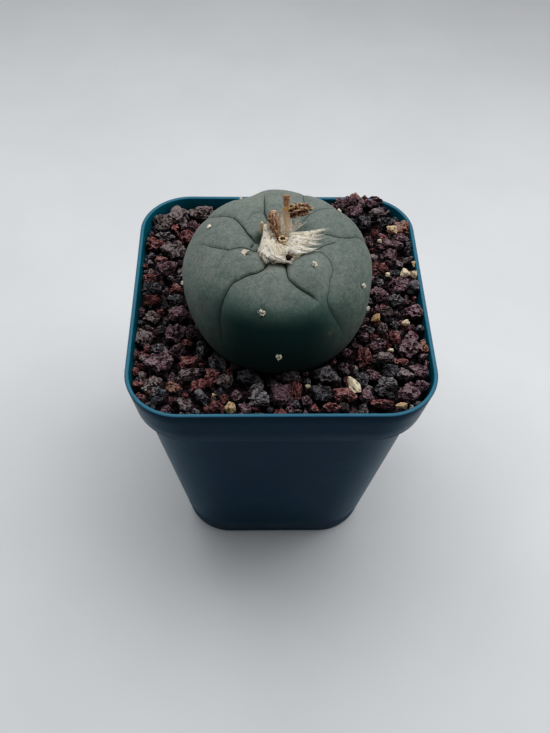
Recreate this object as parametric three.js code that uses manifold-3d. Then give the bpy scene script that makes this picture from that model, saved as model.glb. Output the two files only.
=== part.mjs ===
// A potted button cactus: a square nursery pot of lava grit that holds one round, spineless cactus.
// Millimetres, +Z up, +X right, +Y back. The origin is on the ground, under the middle of the pot.

import * as THREE from "three";
import { mergeVertices } from "three/addons/utils/BufferGeometryUtils.js";
import Module from "manifold-3d";

const wasm = await Module();
wasm.setup();

// Gaps between neighbouring pieces
const SEAT_GAP = 0.35;
const PLANT_HOLE_GAP = 0.5;

// Pot: half widths and corner radii of its square sections, from the ground up
const POT_HEIGHT = 97;
const RIM_HALF = 45;
const RIM_CORNER = 16;
const COLLAR_HEIGHT = 14.4;
const COLLAR_HALF = 44;
const COLLAR_CORNER = 18;
const LEDGE_HEIGHT = 1.2;
const LEDGE_HALF = 43.55;
const LEDGE_CORNER = 20;
const BODY_HALF = 43.2;
const BODY_CORNER = 22;
const BASE_HALF = 32.8;
const BASE_CORNER = 17.7;
const BOTTOM_ROUNDING = 1.5;
const WALL = 1.2;
const LIP_ROUNDING = 0.4;
const FOOT_WIDTH = 2.5;
const FOOT_HEIGHT = 2.5;
const FLOOR_THICKNESS = 1.5;
const CORNER_STEPS = 6;
const DRAIN_SIDES = 16;
const CORNER_DRAIN = { radius: 3.5, offset: 19 };
const CENTRE_DRAIN = { radius: 4.5, offset: 0 };

// Grit: its level below the rim, and grains larger than life
const GRIT_DEPTH = 6;
const BED_DEPTH = 8.6;
const HEAP_RISE = 3.2;
const HEAP_PLACE = { x: 33, y: 37 };
const HEAP_SPREAD = 13;
const GRAIN_SPACING = 6.9;
const GRAIN_RADIUS = { min: 3.9, max: 4.8 };
const GRAIN_CLOSENESS = 0.55;
const CHIP_RISE = 1.6;
const GRAIN_JITTER = 1;
const GRAIN_ROUGHNESS = 0.2;
const GRAIN_STRETCH = 0.14;
const GRAIN_SINK = { min: 0.2, max: 1.4 };
const GRAIN_SEED = 20417;

// Grains seen in their own place, each with its half length: lava first, then pale pumice chips
const LAVA_BLOCKS = [
  { x: -39.3, y: 36.5, radius: 3.4 },
  { x: -33.4, y: 41, radius: 3.6 },
  { x: -25, y: 42, radius: 3.5 },
  { x: -37.4, y: 30, radius: 3.2 },
  { x: -36.5, y: 14.7, radius: 3.4 },
  { x: 34.4, y: 43, radius: 4.2 },
  { x: 21.5, y: 43, radius: 3.8 },
  { x: 41.5, y: 33.8, radius: 3.2 },
  { x: -6.4, y: -36, radius: 3.9 },
  { x: 2, y: -34.5, radius: 4.3 },
  { x: -21.5, y: -30, radius: 3.4 },
  { x: -28.5, y: -27.7, radius: 4 },
  { x: 14, y: -31, radius: 3.8 },
  { x: 36, y: -34.2, radius: 3.6 },
  { x: -31.5, y: -13.5, radius: 3.9 },
  { x: 37.5, y: 1.9, radius: 3.6 },
];
const PUMICE_CHIPS = [
  { x: 37.6, y: 33, radius: 2.4 },
  { x: 34.5, y: 27.5, radius: 1.9 },
  { x: 41.2, y: 17.8, radius: 1.8 },
  { x: 40, y: 12.6, radius: 2.8 },
  { x: 35.4, y: 12.7, radius: 1.7 },
  { x: 30.6, y: -5.4, radius: 1.9 },
  { x: 38.9, y: -7.6, radius: 2 },
  { x: 20.7, y: -31.6, radius: 2.9 },
  { x: 7.6, y: -31, radius: 1.6 },
  { x: -15.1, y: -38.6, radius: 2.7 },
];

// Cactus: a flattened ball with a dished crown, its middle over the grit, on a tapering root
const PLANT_X = -0.7;
const PLANT_Y = -2;
const PLANT_RADIUS = 27.9;
const PLANT_MIDDLE = POT_HEIGHT + 8.2;
const CROWN_HEIGHT = 19.2;
const CROWN_SQUARENESS = 3;
const SKIRT_DEPTH = 27;
const SKIRT_SQUARENESS = 2.1;
const CROWN_DISH = 3.5;
const CROWN_DISH_RADIUS = 7;
const SKIRT_END = 118;
const PLANT_AROUND = 72;
const PLANT_ROWS = 23;
const HOLE_AROUND = 36;
const HOLE_ROWS = 12;
const ROOT = [
  { radius: 1.4, z: 34 },
  { radius: 4, z: 38 },
  { radius: 7, z: 48 },
  { radius: 11, z: 60 },
  { radius: 16, z: 72 },
  { radius: 21, z: 82 },
];

// Creases between the ribs, as degrees round the plant and degrees down from its top
const CREASES = [
  [[250, 12], [248, 32], [238, 44], [228, 56], [230, 70], [234, 92], [232, 120]],
  [[274, 10], [278, 31], [278, 39], [287, 49], [296, 60], [304, 68]],
  [[316, 12], [321, 29], [330, 36], [322, 46], [305, 57], [302, 66], [309, 86], [317, 104]],
  [[332, 33], [345, 35], [355, 42]],
  [[40, 12], [22, 21], [8, 33], [5, 45], [13, 62], [16, 90], [15, 112]],
  [[46, 20], [46, 35], [46, 47], [42, 64], [44, 84], [46, 110]],
  [[58, 30], [64, 45], [70, 60], [74, 84], [75, 110]],
  [[108, 12], [112, 27], [108, 37], [101, 46], [98, 62], [102, 86], [104, 112]],
  [[111, 27], [121, 31], [133, 34]],
  [[205, 14], [186, 22], [157, 32], [146, 45], [146, 57], [141, 78], [140, 108]],
  [[216, 14], [208, 27], [199, 38], [189, 47], [178, 56], [168, 66], [164, 86], [164, 110]],
  [[199, 40], [204, 47], [213, 54]],
];
const CREASE_DEPTH = 0.6;
const CREASE_WIDTH = 1.5;
const VALLEY_DEPTH = 0.7;
const VALLEY_WIDTH = 4.2;
const CREASE_FADE = { from: 36, to: 108 };
const CREASE_SAMPLES = 28;

// Areoles, in degrees round the plant and down from its top, each with a small tuft
const AREOLES = [
  [258, 61], [270, 91], [308, 37.5], [332, 67], [342, 95], [39, 58], [164, 52], [214, 31], [186, 86],
  [118, 57], [84, 50], [88, 84], [58, 88], [24, 90], [122, 92], [152, 90], [206, 62], [210, 100],
];

// Where ribs swell out or the ball is flatter, placed the same way
const SWELLINGS = [
  { around: 258, down: 61, rise: 0.6 },
  { around: 308, down: 38, rise: 0.7 },
  { around: 332, down: 62, rise: 0.4 },
  { around: 20, down: 80, rise: 0.3 },
  { around: 39, down: 52, rise: 0.3 },
  { around: 68, down: 57, rise: 0.4 },
  { around: 98, down: 52, rise: 1.1 },
  { around: 126, down: 62, rise: -1.4 },
  { around: 164, down: 48, rise: 0.5 },
  { around: 182, down: 82, rise: 0.5 },
  { around: 214, down: 33, rise: 0.6 },
  { around: 208, down: 97, rise: -0.4 },
  { around: 350, down: 88, rise: -0.5 },
];
const SWELLING_WIDTH = 8.5;
const TUFT_RADIUS = 1.1;
const TUFT_SINK = 0.35;

// Wool of the crown: a low mound with locks that reach out by a different length each way
const WOOL_MIDDLE = { x: 0, y: -5.6, z: POT_HEIGHT + 25.6 };
const WOOL_HALF = { x: 5.6, y: 5.4, z: 2.5 };
const WOOL_REACH = [
  { angle: -155, reach: 8.6 },
  { angle: -125, reach: 9.2 },
  { angle: -75, reach: 8.2 },
  { angle: -40, reach: 7.4 },
  { angle: 0, reach: 10 },
  { angle: 25, reach: 13 },
  { angle: 60, reach: 8.4 },
  { angle: 95, reach: 6.2 },
  { angle: 135, reach: 8.8 },
  { angle: 180, reach: 6.6 },
];
const LOCK_COUNT = 30;
const LOCK_STEPS = [
  { share: 0.3, radius: 0.95, lift: 1.5 },
  { share: 0.65, radius: 0.7, lift: 0.9 },
  { share: 1, radius: 0.3, lift: 0.75 },
];
const LOCK_SIDES = 4;
const LOCK_SHORTEST = 0.85;
const LOCK_STRAY = 0.8;
const LOCK_RAISE = 0.3;
const WOOL_SEED = 733;

// Dried flowers: section middles and half sizes along each, height given from the pot's rim
const STRAP = [
  { x: 1.5, y: -1.6, z: 25.6, wide: 0.8, thick: 0.45 },
  { x: 1.5, y: -0.2, z: 29, wide: 0.85, thick: 0.45 },
  { x: 1.35, y: 0.9, z: 32.4, wide: 0.95, thick: 0.45 },
  { x: 1.25, y: 1.5, z: 34, wide: 0.75, thick: 0.5 },
  { x: 1.2, y: 2.2, z: 36.8, wide: 0.9, thick: 0.45 },
];
const PETALS = [
  { x: 1.4, y: 1.2, z: 33.1, wide: 0.5, thick: 0.6 },
  { x: 3, y: 1.9, z: 33, wide: 1.5, thick: 1.1 },
  { x: 5, y: 2.4, z: 32.6, wide: 1.7, thick: 1.1 },
  { x: 7.2, y: 2.9, z: 32, wide: 1.1, thick: 0.8 },
  { x: 8.9, y: 3.3, z: 31.6, wide: 0.6, thick: 0.5 },
];
const STUB = [
  { x: -0.9, y: -3.4, z: 25, wide: 0.7, thick: 0.6 },
  { x: -1.2, y: -2.8, z: 27, wide: 0.8, thick: 0.7 },
  { x: -1.6, y: -1.9, z: 29.6, wide: 1.5, thick: 1.1 },
  { x: -2, y: -1, z: 32, wide: 1.6, thick: 1.2 },
  { x: -2.3, y: -0.4, z: 33.6, wide: 1, thick: 0.8 },
];
const SCALE = [
  { x: -5.7, y: -0.6, z: 25.9, wide: 0.35, thick: 0.5 },
  { x: -5.9, y: -0.3, z: 27.4, wide: 0.35, thick: 0.6 },
  { x: -6, y: 0, z: 28.8, wide: 0.3, thick: 0.4 },
];
const CUP = { x: -0.1, y: -4.7, z: 27.1, outer: 1.1, bore: 0.45, height: 1.7, depth: 1.1 };
const CUP_SIDES = 10;
const FLOWER_SIDES = 6;

// Colour and roughness of the pieces
const POT_FINISH = { color: 0x0f2f3c, roughness: 0.45 };
const GRIT_FINISH = { color: 0x4a3232, roughness: 0.95 };
const PLANT_FINISH = { color: 0x5d6d62, roughness: 0.7 };
const WOOL_FINISH = { color: 0xd9cdb4, roughness: 1 };
const DRIED_FINISH = { color: 0x7c5238, roughness: 0.9 };
const TAN_FINISH = { color: 0xb99a68, roughness: 0.9 };

const FULL_TURN = 2 * Math.PI;
const toRadians = THREE.MathUtils.degToRad;

// A repeatable stream of numbers from 0 to 1.
function seededRandom(seed) {
  let state = seed;
  return () => {
    state = (Math.imul(state, 1664525) + 1013904223) >>> 0;
    return state / 2 ** 32;
  };
}

// A number between two ends, at a share of the way.
function between(range, share) {
  return THREE.MathUtils.lerp(range.min, range.max, share);
}

// Closes a stack of rings of equal length, wound counter-clockwise, with a fan on each end.
function closedStack(rings) {
  const around = rings[0].length;
  const points = rings.flat();
  const faces = [];
  for (let row = 0; row + 1 < rings.length; row += 1) {
    for (let step = 0; step < around; step += 1) {
      const next = (step + 1) % around;
      const low = row * around;
      const high = low + around;
      faces.push(low + step, low + next, high + next);
      faces.push(low + step, high + next, high + step);
    }
  }
  const last = (rings.length - 1) * around;
  const startMiddle = points.push(ringMiddle(rings[0])) - 1;
  const endMiddle = points.push(ringMiddle(rings[rings.length - 1])) - 1;
  for (let step = 0; step < around; step += 1) {
    const next = (step + 1) % around;
    faces.push(startMiddle, next, step);
    faces.push(endMiddle, last + step, last + next);
  }
  const geometry = new THREE.BufferGeometry().setFromPoints(points);
  geometry.setIndex(faces);
  return geometry;
}

// The middle of a ring of points.
function ringMiddle(ring) {
  const middle = new THREE.Vector3();
  ring.forEach((point) => middle.add(point));
  return middle.divideScalar(ring.length);
}

// A closed geometry as a solid that can be joined and cut.
function solidOf(geometry) {
  const bare = geometry.clone();
  bare.deleteAttribute("normal");
  bare.deleteAttribute("uv");
  const welded = mergeVertices(bare);
  return new wasm.Manifold(new wasm.Mesh({
    numProp: 3,
    vertProperties: new Float32Array(welded.attributes.position.array),
    triVerts: new Uint32Array(welded.index.array),
  }));
}

// The largest body of a solid: scraps that cutting leaves loose are dropped.
function largestBody(solid) {
  const bodies = solid.decompose();
  bodies.sort((first, second) => second.volume() - first.volume());
  return bodies[0];
}

// A named mesh of a solid.
function meshOf(name, solid, finish) {
  const shape = solid.getMesh();
  const geometry = new THREE.BufferGeometry();
  geometry.setAttribute("position", new THREE.BufferAttribute(shape.vertProperties, shape.numProp));
  geometry.setIndex(new THREE.BufferAttribute(shape.triVerts, 1));
  geometry.computeVertexNormals();
  const mesh = new THREE.Mesh(geometry, new THREE.MeshStandardMaterial({ ...finish, metalness: 0 }));
  mesh.name = name;
  return mesh;
}

// One level section of a square with round corners.
function roundedSquare(half, corner, z) {
  const ring = [];
  for (let quarter = 0; quarter < 4; quarter += 1) {
    const diagonal = toRadians(45 + 90 * quarter);
    const middleX = Math.sign(Math.cos(diagonal)) * (half - corner);
    const middleY = Math.sign(Math.sin(diagonal)) * (half - corner);
    for (let step = 0; step <= CORNER_STEPS; step += 1) {
      const angle = toRadians(90 * (quarter + step / CORNER_STEPS));
      const x = middleX + corner * Math.cos(angle);
      const y = middleY + corner * Math.sin(angle);
      ring.push(new THREE.Vector3(x, y, z));
    }
  }
  return ring;
}

// The sections of the pot's outside, moved in by a distance.
function potSections(inset) {
  const collarBottom = POT_HEIGHT - COLLAR_HEIGHT;
  const section = (half, corner, z) => roundedSquare(half - inset, corner - inset, z);
  return {
    base: (z) => section(BASE_HALF, BASE_CORNER, z),
    bodyTop: section(BODY_HALF, BODY_CORNER, collarBottom - LEDGE_HEIGHT),
    ledge: section(LEDGE_HALF, LEDGE_CORNER, collarBottom - LEDGE_HEIGHT),
    ledgeTop: section(LEDGE_HALF, LEDGE_CORNER, collarBottom),
    collar: section(COLLAR_HALF, COLLAR_CORNER, collarBottom),
    rim: (z) => section(RIM_HALF, RIM_CORNER, z),
  };
}

// A round cutter that goes through the raised floor.
function drain({ radius, offset }, sideX, sideY) {
  const x = sideX * offset;
  const y = sideY * offset;
  const cutter = new THREE.CylinderGeometry(radius, radius, 3 * FOOT_HEIGHT, DRAIN_SIDES);
  cutter.rotateX(Math.PI / 2);
  cutter.translate(x, y, FOOT_HEIGHT);
  return solidOf(cutter);
}

function makePot() {
  const outside = potSections(0);
  const inside = potSections(WALL);
  const sole = potSections(BOTTOM_ROUNDING);
  const soleEdge = potSections(BOTTOM_ROUNDING / 3);
  const footInner = potSections(BOTTOM_ROUNDING + FOOT_WIDTH);
  const shell = solidOf(closedStack([
    footInner.base(FOOT_HEIGHT),
    footInner.base(0),
    sole.base(0),
    soleEdge.base(BOTTOM_ROUNDING / 3),
    outside.base(BOTTOM_ROUNDING),
    outside.bodyTop,
    outside.ledge,
    outside.ledgeTop,
    outside.collar,
    outside.rim(POT_HEIGHT - LIP_ROUNDING),
    potSections(LIP_ROUNDING).rim(POT_HEIGHT),
    potSections(WALL - LIP_ROUNDING / 2).rim(POT_HEIGHT),
    inside.rim(POT_HEIGHT - LIP_ROUNDING),
    inside.collar,
    inside.bodyTop,
    inside.base(FOOT_HEIGHT + FLOOR_THICKNESS),
  ]));
  const drains = [
    drain(CENTRE_DRAIN, 0, 0),
    drain(CORNER_DRAIN, 1, 1),
    drain(CORNER_DRAIN, -1, 1),
    drain(CORNER_DRAIN, -1, -1),
    drain(CORNER_DRAIN, 1, -1),
  ];
  return shell.subtract(wasm.Manifold.union(drains));
}

// A point of the smooth plant, at an angle round it and an angle down from its top.
function smoothPlantPoint(around, down, lift) {
  const height = down < Math.PI / 2 ? CROWN_HEIGHT : SKIRT_DEPTH;
  const power = down < Math.PI / 2 ? CROWN_SQUARENESS : SKIRT_SQUARENESS;
  const acrossShare = (Math.sin(down) / PLANT_RADIUS) ** power;
  const upShare = (Math.abs(Math.cos(down)) / height) ** power;
  const distance = (acrossShare + upShare) ** (-1 / power) + lift;
  const radius = distance * Math.sin(down);
  const dish = down < Math.PI / 2 ? CROWN_DISH * bell(radius, CROWN_DISH_RADIUS) : 0;
  return new THREE.Vector3(
    PLANT_X + radius * Math.cos(around),
    PLANT_Y + radius * Math.sin(around),
    PLANT_MIDDLE + distance * Math.cos(down) - dish,
  );
}

// A place on the smooth plant, from degrees.
function placeOn([around, down]) {
  return smoothPlantPoint(toRadians(around), toRadians(down), 0);
}

const creaseLines = CREASES.map((crease) => {
  const places = crease.map(placeOn);
  return new THREE.CatmullRomCurve3(places, false, "centripetal").getPoints(CREASE_SAMPLES);
});

const swellings = SWELLINGS.map(({ around, down, rise }) => ({ place: placeOn([around, down]), rise }));

// How far a point is from the nearest crease.
function distanceToCreases(point) {
  const nearest = new THREE.Vector3();
  const segment = new THREE.Line3();
  let distance = Infinity;
  for (const line of creaseLines) {
    for (let step = 0; step + 1 < line.length; step += 1) {
      segment.set(line[step], line[step + 1]);
      segment.closestPointToPoint(point, true, nearest);
      distance = Math.min(distance, nearest.distanceTo(point));
    }
  }
  return distance;
}

// A round hump of height 1 that fades out over a width.
function bell(distance, width) {
  return Math.exp(-((distance / width) ** 2));
}

// How far the skin swells out of the smooth plant.
function swelling(point) {
  return swellings.reduce((sum, { place, rise }) => (
    sum + rise * bell(place.distanceTo(point), SWELLING_WIDTH)), 0);
}

// How far the skin sinks between the ribs: a broad valley with a narrow crease in it.
function hollow(point, down) {
  const degrees = THREE.MathUtils.radToDeg(down);
  const fade = 1 - THREE.MathUtils.smoothstep(degrees, CREASE_FADE.from, CREASE_FADE.to);
  const distance = distanceToCreases(point);
  return fade * (CREASE_DEPTH * bell(distance, CREASE_WIDTH) + VALLEY_DEPTH * bell(distance, VALLEY_WIDTH));
}

// A point of the plant's skin, moved out by a lift.
function skinPoint(around, down, lift) {
  const smooth = smoothPlantPoint(around, down, 0);
  return smoothPlantPoint(around, down, swelling(smooth) - hollow(smooth, down) + lift);
}

// The plant as other pieces fit round it: without its creases, and grown by a gap.
function hullPoint(around, down, gap) {
  return smoothPlantPoint(around, down, swelling(smoothPlantPoint(around, down, 0)) + gap);
}

// Button and root, from rings of points round the plant's axis.
function plantStack(aroundSteps, rows, gap, pointAt) {
  const angles = Array.from({ length: aroundSteps }, (_, step) => (FULL_TURN * step) / aroundSteps);
  const rootRings = ROOT.map(({ radius, z }, index) => angles.map((around) => new THREE.Vector3(
    PLANT_X + (radius + gap) * Math.cos(around),
    PLANT_Y + (radius + gap) * Math.sin(around),
    z - (index === 0 ? gap : 0),
  )));
  const buttonRings = Array.from({ length: rows }, (_, row) => (
    angles.map((around) => pointAt(around, toRadians(SKIRT_END * (1 - row / rows)), gap))));
  return solidOf(closedStack([...rootRings, ...buttonRings]));
}

// A few-sided stone: an icosahedron with its corners moved, stretched and turned.
function stone(random, place) {
  const geometry = weldedIcosahedron(place.radius);
  const position = geometry.attributes.position;
  const corner = new THREE.Vector3();
  for (let index = 0; index < position.count; index += 1) {
    corner.fromBufferAttribute(position, index).multiplyScalar(1 + GRAIN_ROUGHNESS * signed(random));
    position.setXYZ(index, corner.x, corner.y, corner.z);
  }
  geometry.scale(1 + GRAIN_STRETCH * signed(random), 1 + GRAIN_STRETCH * signed(random), 1);
  geometry.rotateX(FULL_TURN * random());
  geometry.rotateY(FULL_TURN * random());
  geometry.rotateZ(FULL_TURN * random());
  geometry.translate(place.x, place.y, place.z);
  return solidOf(geometry);
}

// A number from -1 to 1.
function signed(random) {
  return 2 * random() - 1;
}

// An icosahedron whose faces share their corners.
function weldedIcosahedron(radius) {
  const geometry = new THREE.IcosahedronGeometry(radius, 0);
  geometry.deleteAttribute("normal");
  geometry.deleteAttribute("uv");
  return mergeVertices(geometry);
}

// The height of the grit over a place on the plan.
function gritLevel(x, y) {
  const heap = bell(Math.hypot(x - HEAP_PLACE.x, y - HEAP_PLACE.y), HEAP_SPREAD);
  return POT_HEIGHT - GRIT_DEPTH + HEAP_RISE * heap;
}

// Where the grains lie: those seen in their own place, rows that fill what is left, and chips on top.
function grainPlaces(random) {
  const raised = (rise) => ({ x, y, radius }) => ({ x, y, radius, z: gritLevel(x, y) + rise });
  const blocks = LAVA_BLOCKS.map(raised(-GRAIN_SINK.min));
  const places = [...blocks, ...PUMICE_CHIPS.map(raised(CHIP_RISE))];
  const rowStep = GRAIN_SPACING * Math.sin(Math.PI / 3);
  const rows = Math.ceil(RIM_HALF / rowStep);
  for (let row = -rows; row <= rows; row += 1) {
    for (let column = -rows; column <= rows; column += 1) {
      const x = (column + (row % 2) / 2) * GRAIN_SPACING + GRAIN_JITTER * signed(random);
      const y = row * rowStep + GRAIN_JITTER * signed(random);
      const radius = between(GRAIN_RADIUS, random());
      const z = gritLevel(x, y) - between(GRAIN_SINK, random());
      const clear = blocks.every((other) => (
        Math.hypot(x - other.x, y - other.y) > GRAIN_CLOSENESS * (radius + other.radius)));
      if (clear && inPot(x, y) && !underPlant(x, y)) {
        places.push({ x, y, z, radius });
      }
    }
  }
  return places;
}

// Whether a grain's middle is inside the pot.
function inPot(x, y) {
  const half = RIM_HALF - WALL - GRAIN_RADIUS.min / 2;
  const overX = Math.max(Math.abs(x) - (half - RIM_CORNER), 0);
  const overY = Math.max(Math.abs(y) - (half - RIM_CORNER), 0);
  return Math.hypot(overX, overY) < RIM_CORNER;
}

// Whether a grain's middle is where the root is.
function underPlant(x, y) {
  const rootTop = ROOT[ROOT.length - 1].radius;
  return Math.hypot(x - PLANT_X, y - PLANT_Y) < rootTop + GRAIN_RADIUS.min / 2;
}

function makeGrit() {
  const random = seededRandom(GRAIN_SEED);
  const inside = potSections(WALL + SEAT_GAP);
  const bottom = FOOT_HEIGHT + FLOOR_THICKNESS + SEAT_GAP;
  const column = solidOf(closedStack([
    inside.base(bottom),
    inside.bodyTop,
    inside.collar,
    inside.rim(POT_HEIGHT),
    inside.rim(2 * POT_HEIGHT),
  ]));
  const belowTop = solidOf(closedStack([
    roundedSquare(2 * RIM_HALF, RIM_CORNER, 0),
    roundedSquare(2 * RIM_HALF, RIM_CORNER, POT_HEIGHT - BED_DEPTH),
  ]));
  const grains = grainPlaces(random).map((place) => stone(random, place));
  const heaped = wasm.Manifold.union([belowTop, ...grains]);
  const plantHole = plantStack(HOLE_AROUND, HOLE_ROWS, PLANT_HOLE_GAP, hullPoint);
  return largestBody(heaped.intersect(column).subtract(plantHole));
}

function makePlant() {
  const tufts = AREOLES.map(([around, down]) => {
    const tuft = weldedIcosahedron(TUFT_RADIUS);
    const place = skinPoint(toRadians(around), toRadians(down), -TUFT_SINK);
    tuft.translate(place.x, place.y, place.z);
    return solidOf(tuft);
  });
  return wasm.Manifold.union([plantStack(PLANT_AROUND, PLANT_ROWS, 0, skinPoint), ...tufts]);
}

// A closed tube along a path of places, with a half size across and one up and down at each.
function flatTube(sections, sides) {
  const up = new THREE.Vector3(0, 0, 1);
  const back = new THREE.Vector3(0, 1, 0);
  const rings = sections.map((section, index) => {
    const before = sections[Math.max(index - 1, 0)].place;
    const after = sections[Math.min(index + 1, sections.length - 1)].place;
    const along = after.clone().sub(before).normalize();
    const steep = Math.abs(along.z) > Math.SQRT1_2;
    const across = along.clone().cross(steep ? back : up).normalize();
    const over = across.clone().cross(along).normalize();
    return Array.from({ length: sides }, (_, step) => {
      const angle = (FULL_TURN * step) / sides;
      return section.place.clone()
        .addScaledVector(across, section.wide * Math.cos(angle))
        .addScaledVector(over, -section.thick * Math.sin(angle));
    });
  });
  return solidOf(closedStack(rings));
}

// A dried piece from its sections, grown by a gap.
function driedPiece(sections, gap) {
  return flatTube(sections.map(({ x, y, z, wide, thick }, index) => ({
    place: new THREE.Vector3(x, y, POT_HEIGHT + z - (index === 0 ? gap : 0)),
    wide: wide + gap,
    thick: thick + gap,
  })), FLOWER_SIDES);
}

// A round piece of the cup's flower, from an outline of distances from its axis and heights.
function cupSolid(outline) {
  const points = outline.map(([radius, level]) => new THREE.Vector2(radius, level));
  const cup = new THREE.LatheGeometry(points, CUP_SIDES);
  cup.rotateX(Math.PI / 2);
  cup.translate(CUP.x, CUP.y, POT_HEIGHT + CUP.z);
  return solidOf(cup);
}

function makeCup() {
  const { outer, bore, height, depth } = CUP;
  return cupSolid([
    [0, 0], [outer / 2, 0], [outer, height / 2], [outer, height],
    [bore, height], [bore, height - depth], [0, height - depth],
  ]);
}

// The hole that the cup sits in.
function cupHole() {
  const outer = CUP.outer + SEAT_GAP;
  return cupSolid([[0, -SEAT_GAP], [outer, -SEAT_GAP], [outer, CUP.height], [0, CUP.height]]);
}

// How far the wool reaches at an angle round its middle.
function woolReach(angle) {
  const first = WOOL_REACH[0];
  const ends = [...WOOL_REACH, { angle: first.angle + 360, reach: first.reach }];
  const index = ends.findIndex((end) => end.angle >= angle);
  const from = ends[index - 1];
  const to = ends[index];
  return THREE.MathUtils.mapLinear(angle, from.angle, to.angle, from.reach, to.reach);
}

// One lock of wool, which lies on the crown from the middle outwards.
function woolLock(random, index) {
  const angle = WOOL_REACH[0].angle + (360 * (index + LOCK_STRAY * random())) / LOCK_COUNT;
  const reach = woolReach(angle) * THREE.MathUtils.lerp(LOCK_SHORTEST, 1, random());
  const sections = LOCK_STEPS.map(({ share, radius, lift }) => {
    const x = WOOL_MIDDLE.x + share * reach * Math.cos(toRadians(angle));
    const y = WOOL_MIDDLE.y + share * reach * Math.sin(toRadians(angle));
    const place = new THREE.Vector3(x, y, skinHeight(x, y) + lift + LOCK_RAISE * random());
    return { place, wide: radius, thick: radius };
  });
  return flatTube(sections, LOCK_SIDES);
}

// The height of the smooth crown over a place on the plan.
function skinHeight(x, y) {
  const radius = Math.hypot(x - PLANT_X, y - PLANT_Y);
  const top = CROWN_HEIGHT * (1 - (radius / PLANT_RADIUS) ** CROWN_SQUARENESS) ** (1 / CROWN_SQUARENESS);
  return PLANT_MIDDLE + top - CROWN_DISH * bell(radius, CROWN_DISH_RADIUS);
}

function makeWool() {
  const random = seededRandom(WOOL_SEED);
  const mound = new THREE.IcosahedronGeometry(1, 2);
  mound.scale(WOOL_HALF.x, WOOL_HALF.y, WOOL_HALF.z);
  mound.translate(WOOL_MIDDLE.x, WOOL_MIDDLE.y, WOOL_MIDDLE.z);
  const locks = Array.from({ length: LOCK_COUNT }, (_, index) => woolLock(random, index));
  const holes = [
    plantStack(HOLE_AROUND, HOLE_ROWS, SEAT_GAP, hullPoint),
    ...[STRAP, STUB, SCALE].map((sections) => driedPiece(sections, SEAT_GAP)),
    cupHole(),
  ];
  const wool = wasm.Manifold.union([solidOf(mound), ...locks]);
  return largestBody(wool.subtract(wasm.Manifold.union(holes)));
}

const group = new THREE.Group();
group.name = "potted_button_cactus";
group.add(
  meshOf("pot", makePot(), POT_FINISH),
  meshOf("grit_bed", makeGrit(), GRIT_FINISH),
  meshOf("cactus_body", makePlant(), PLANT_FINISH),
  meshOf("crown_wool", makeWool(), WOOL_FINISH),
  meshOf("dried_flower_tall", driedPiece(STRAP, 0).add(driedPiece(PETALS, 0)), DRIED_FINISH),
  meshOf("dried_flower_stub", driedPiece(STUB, 0), DRIED_FINISH),
  meshOf("dried_flower_cup", makeCup(), TAN_FINISH),
  meshOf("dried_scale", driedPiece(SCALE, 0), TAN_FINISH),
);

export default group;
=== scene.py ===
"""The look of a potted button cactus: a square pot of lava grit that holds one round, spineless cactus.

Sizes are in millimetres and become metres where a mesh is made. +Z is up, +X right and +Y back, and the
origin is on the ground under the middle of the pot.
"""

import collections
import functools
import math

import bmesh
import bpy
import numpy as np
from bpy.props import FloatProperty, FloatVectorProperty, IntProperty, PointerProperty
from mathutils import Matrix, Vector, kdtree, noise


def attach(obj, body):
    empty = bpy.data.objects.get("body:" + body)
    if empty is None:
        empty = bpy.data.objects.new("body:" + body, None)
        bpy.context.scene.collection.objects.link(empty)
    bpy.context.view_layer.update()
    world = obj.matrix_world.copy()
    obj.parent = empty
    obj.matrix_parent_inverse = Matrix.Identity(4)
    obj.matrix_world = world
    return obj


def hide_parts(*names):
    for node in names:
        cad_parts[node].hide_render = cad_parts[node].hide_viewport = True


bl_info = {
    "name": "Potted Button Cactus",
    "version": (1, 0, 0),
    "blender": (4, 5, 0),
    "location": "3D Viewport > Sidebar > Cactus",
    "description": "Models and finishes a button cactus in a square pot of lava grit",
    "category": "Object",
}

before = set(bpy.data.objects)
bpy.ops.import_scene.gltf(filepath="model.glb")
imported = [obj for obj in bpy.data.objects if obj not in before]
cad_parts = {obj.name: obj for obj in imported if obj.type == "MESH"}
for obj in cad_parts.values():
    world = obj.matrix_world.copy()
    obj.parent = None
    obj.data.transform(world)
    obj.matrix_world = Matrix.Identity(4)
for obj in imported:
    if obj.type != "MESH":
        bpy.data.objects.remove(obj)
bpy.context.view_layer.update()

MM = 0.001
BODY = "root"

# Pot: levels and thicknesses, then the half width and the corner radius of its sections
POT_HEIGHT = 97.0
WALL = 1.2
SOLE_ROUNDING = 1.5
FOOT_WIDTH = 2.5
FOOT_HEIGHT = 2.5
FLOOR_THICKNESS = 1.5
LIP_ROUNDING = 0.4
COLLAR_BOTTOM = 82.6
LEDGE_BOTTOM = 81.4
BASE = (32.8, 16.4)
BODY_TOP = (43.2, 22.0)
LEDGE = (43.55, 20.0)
COLLAR = (44.0, 18.0)
RIM = (45.0, 16.0)
CORNER_STEPS = 14
SIDE_STEPS = 14
BODY_STEPS = 12
# Drain holes: place and radius
DRAINS = ((0.0, 0.0, 4.5), (19.0, 19.0, 3.5), (-19.0, 19.0, 3.5), (-19.0, -19.0, 3.5), (19.0, -19.0, 3.5))
# Painted highlight along the rim: the heights over which it sets in, and how strongly
RIM_HIGHLIGHT_HEIGHTS = (POT_HEIGHT - 0.4, POT_HEIGHT - 0.1)
RIM_HIGHLIGHT = 0.75
# Dust on the pot, with a painted reflection of the pale floor on the foot: the heights over which the band on
# the foot starts and ends, and how strongly it shows on the foot, as a film, on ledges, in scuffs and as a
# paler line along the collar's lower edge
FOOT_DUST_AND_REFLECTION_START = (1.0, 4.0)
FOOT_DUST_AND_REFLECTION_END = (7.5, 11.0)
DUST_SHARES = (0.3, 0.015, 0.06, 0.05, 0.14)

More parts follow.
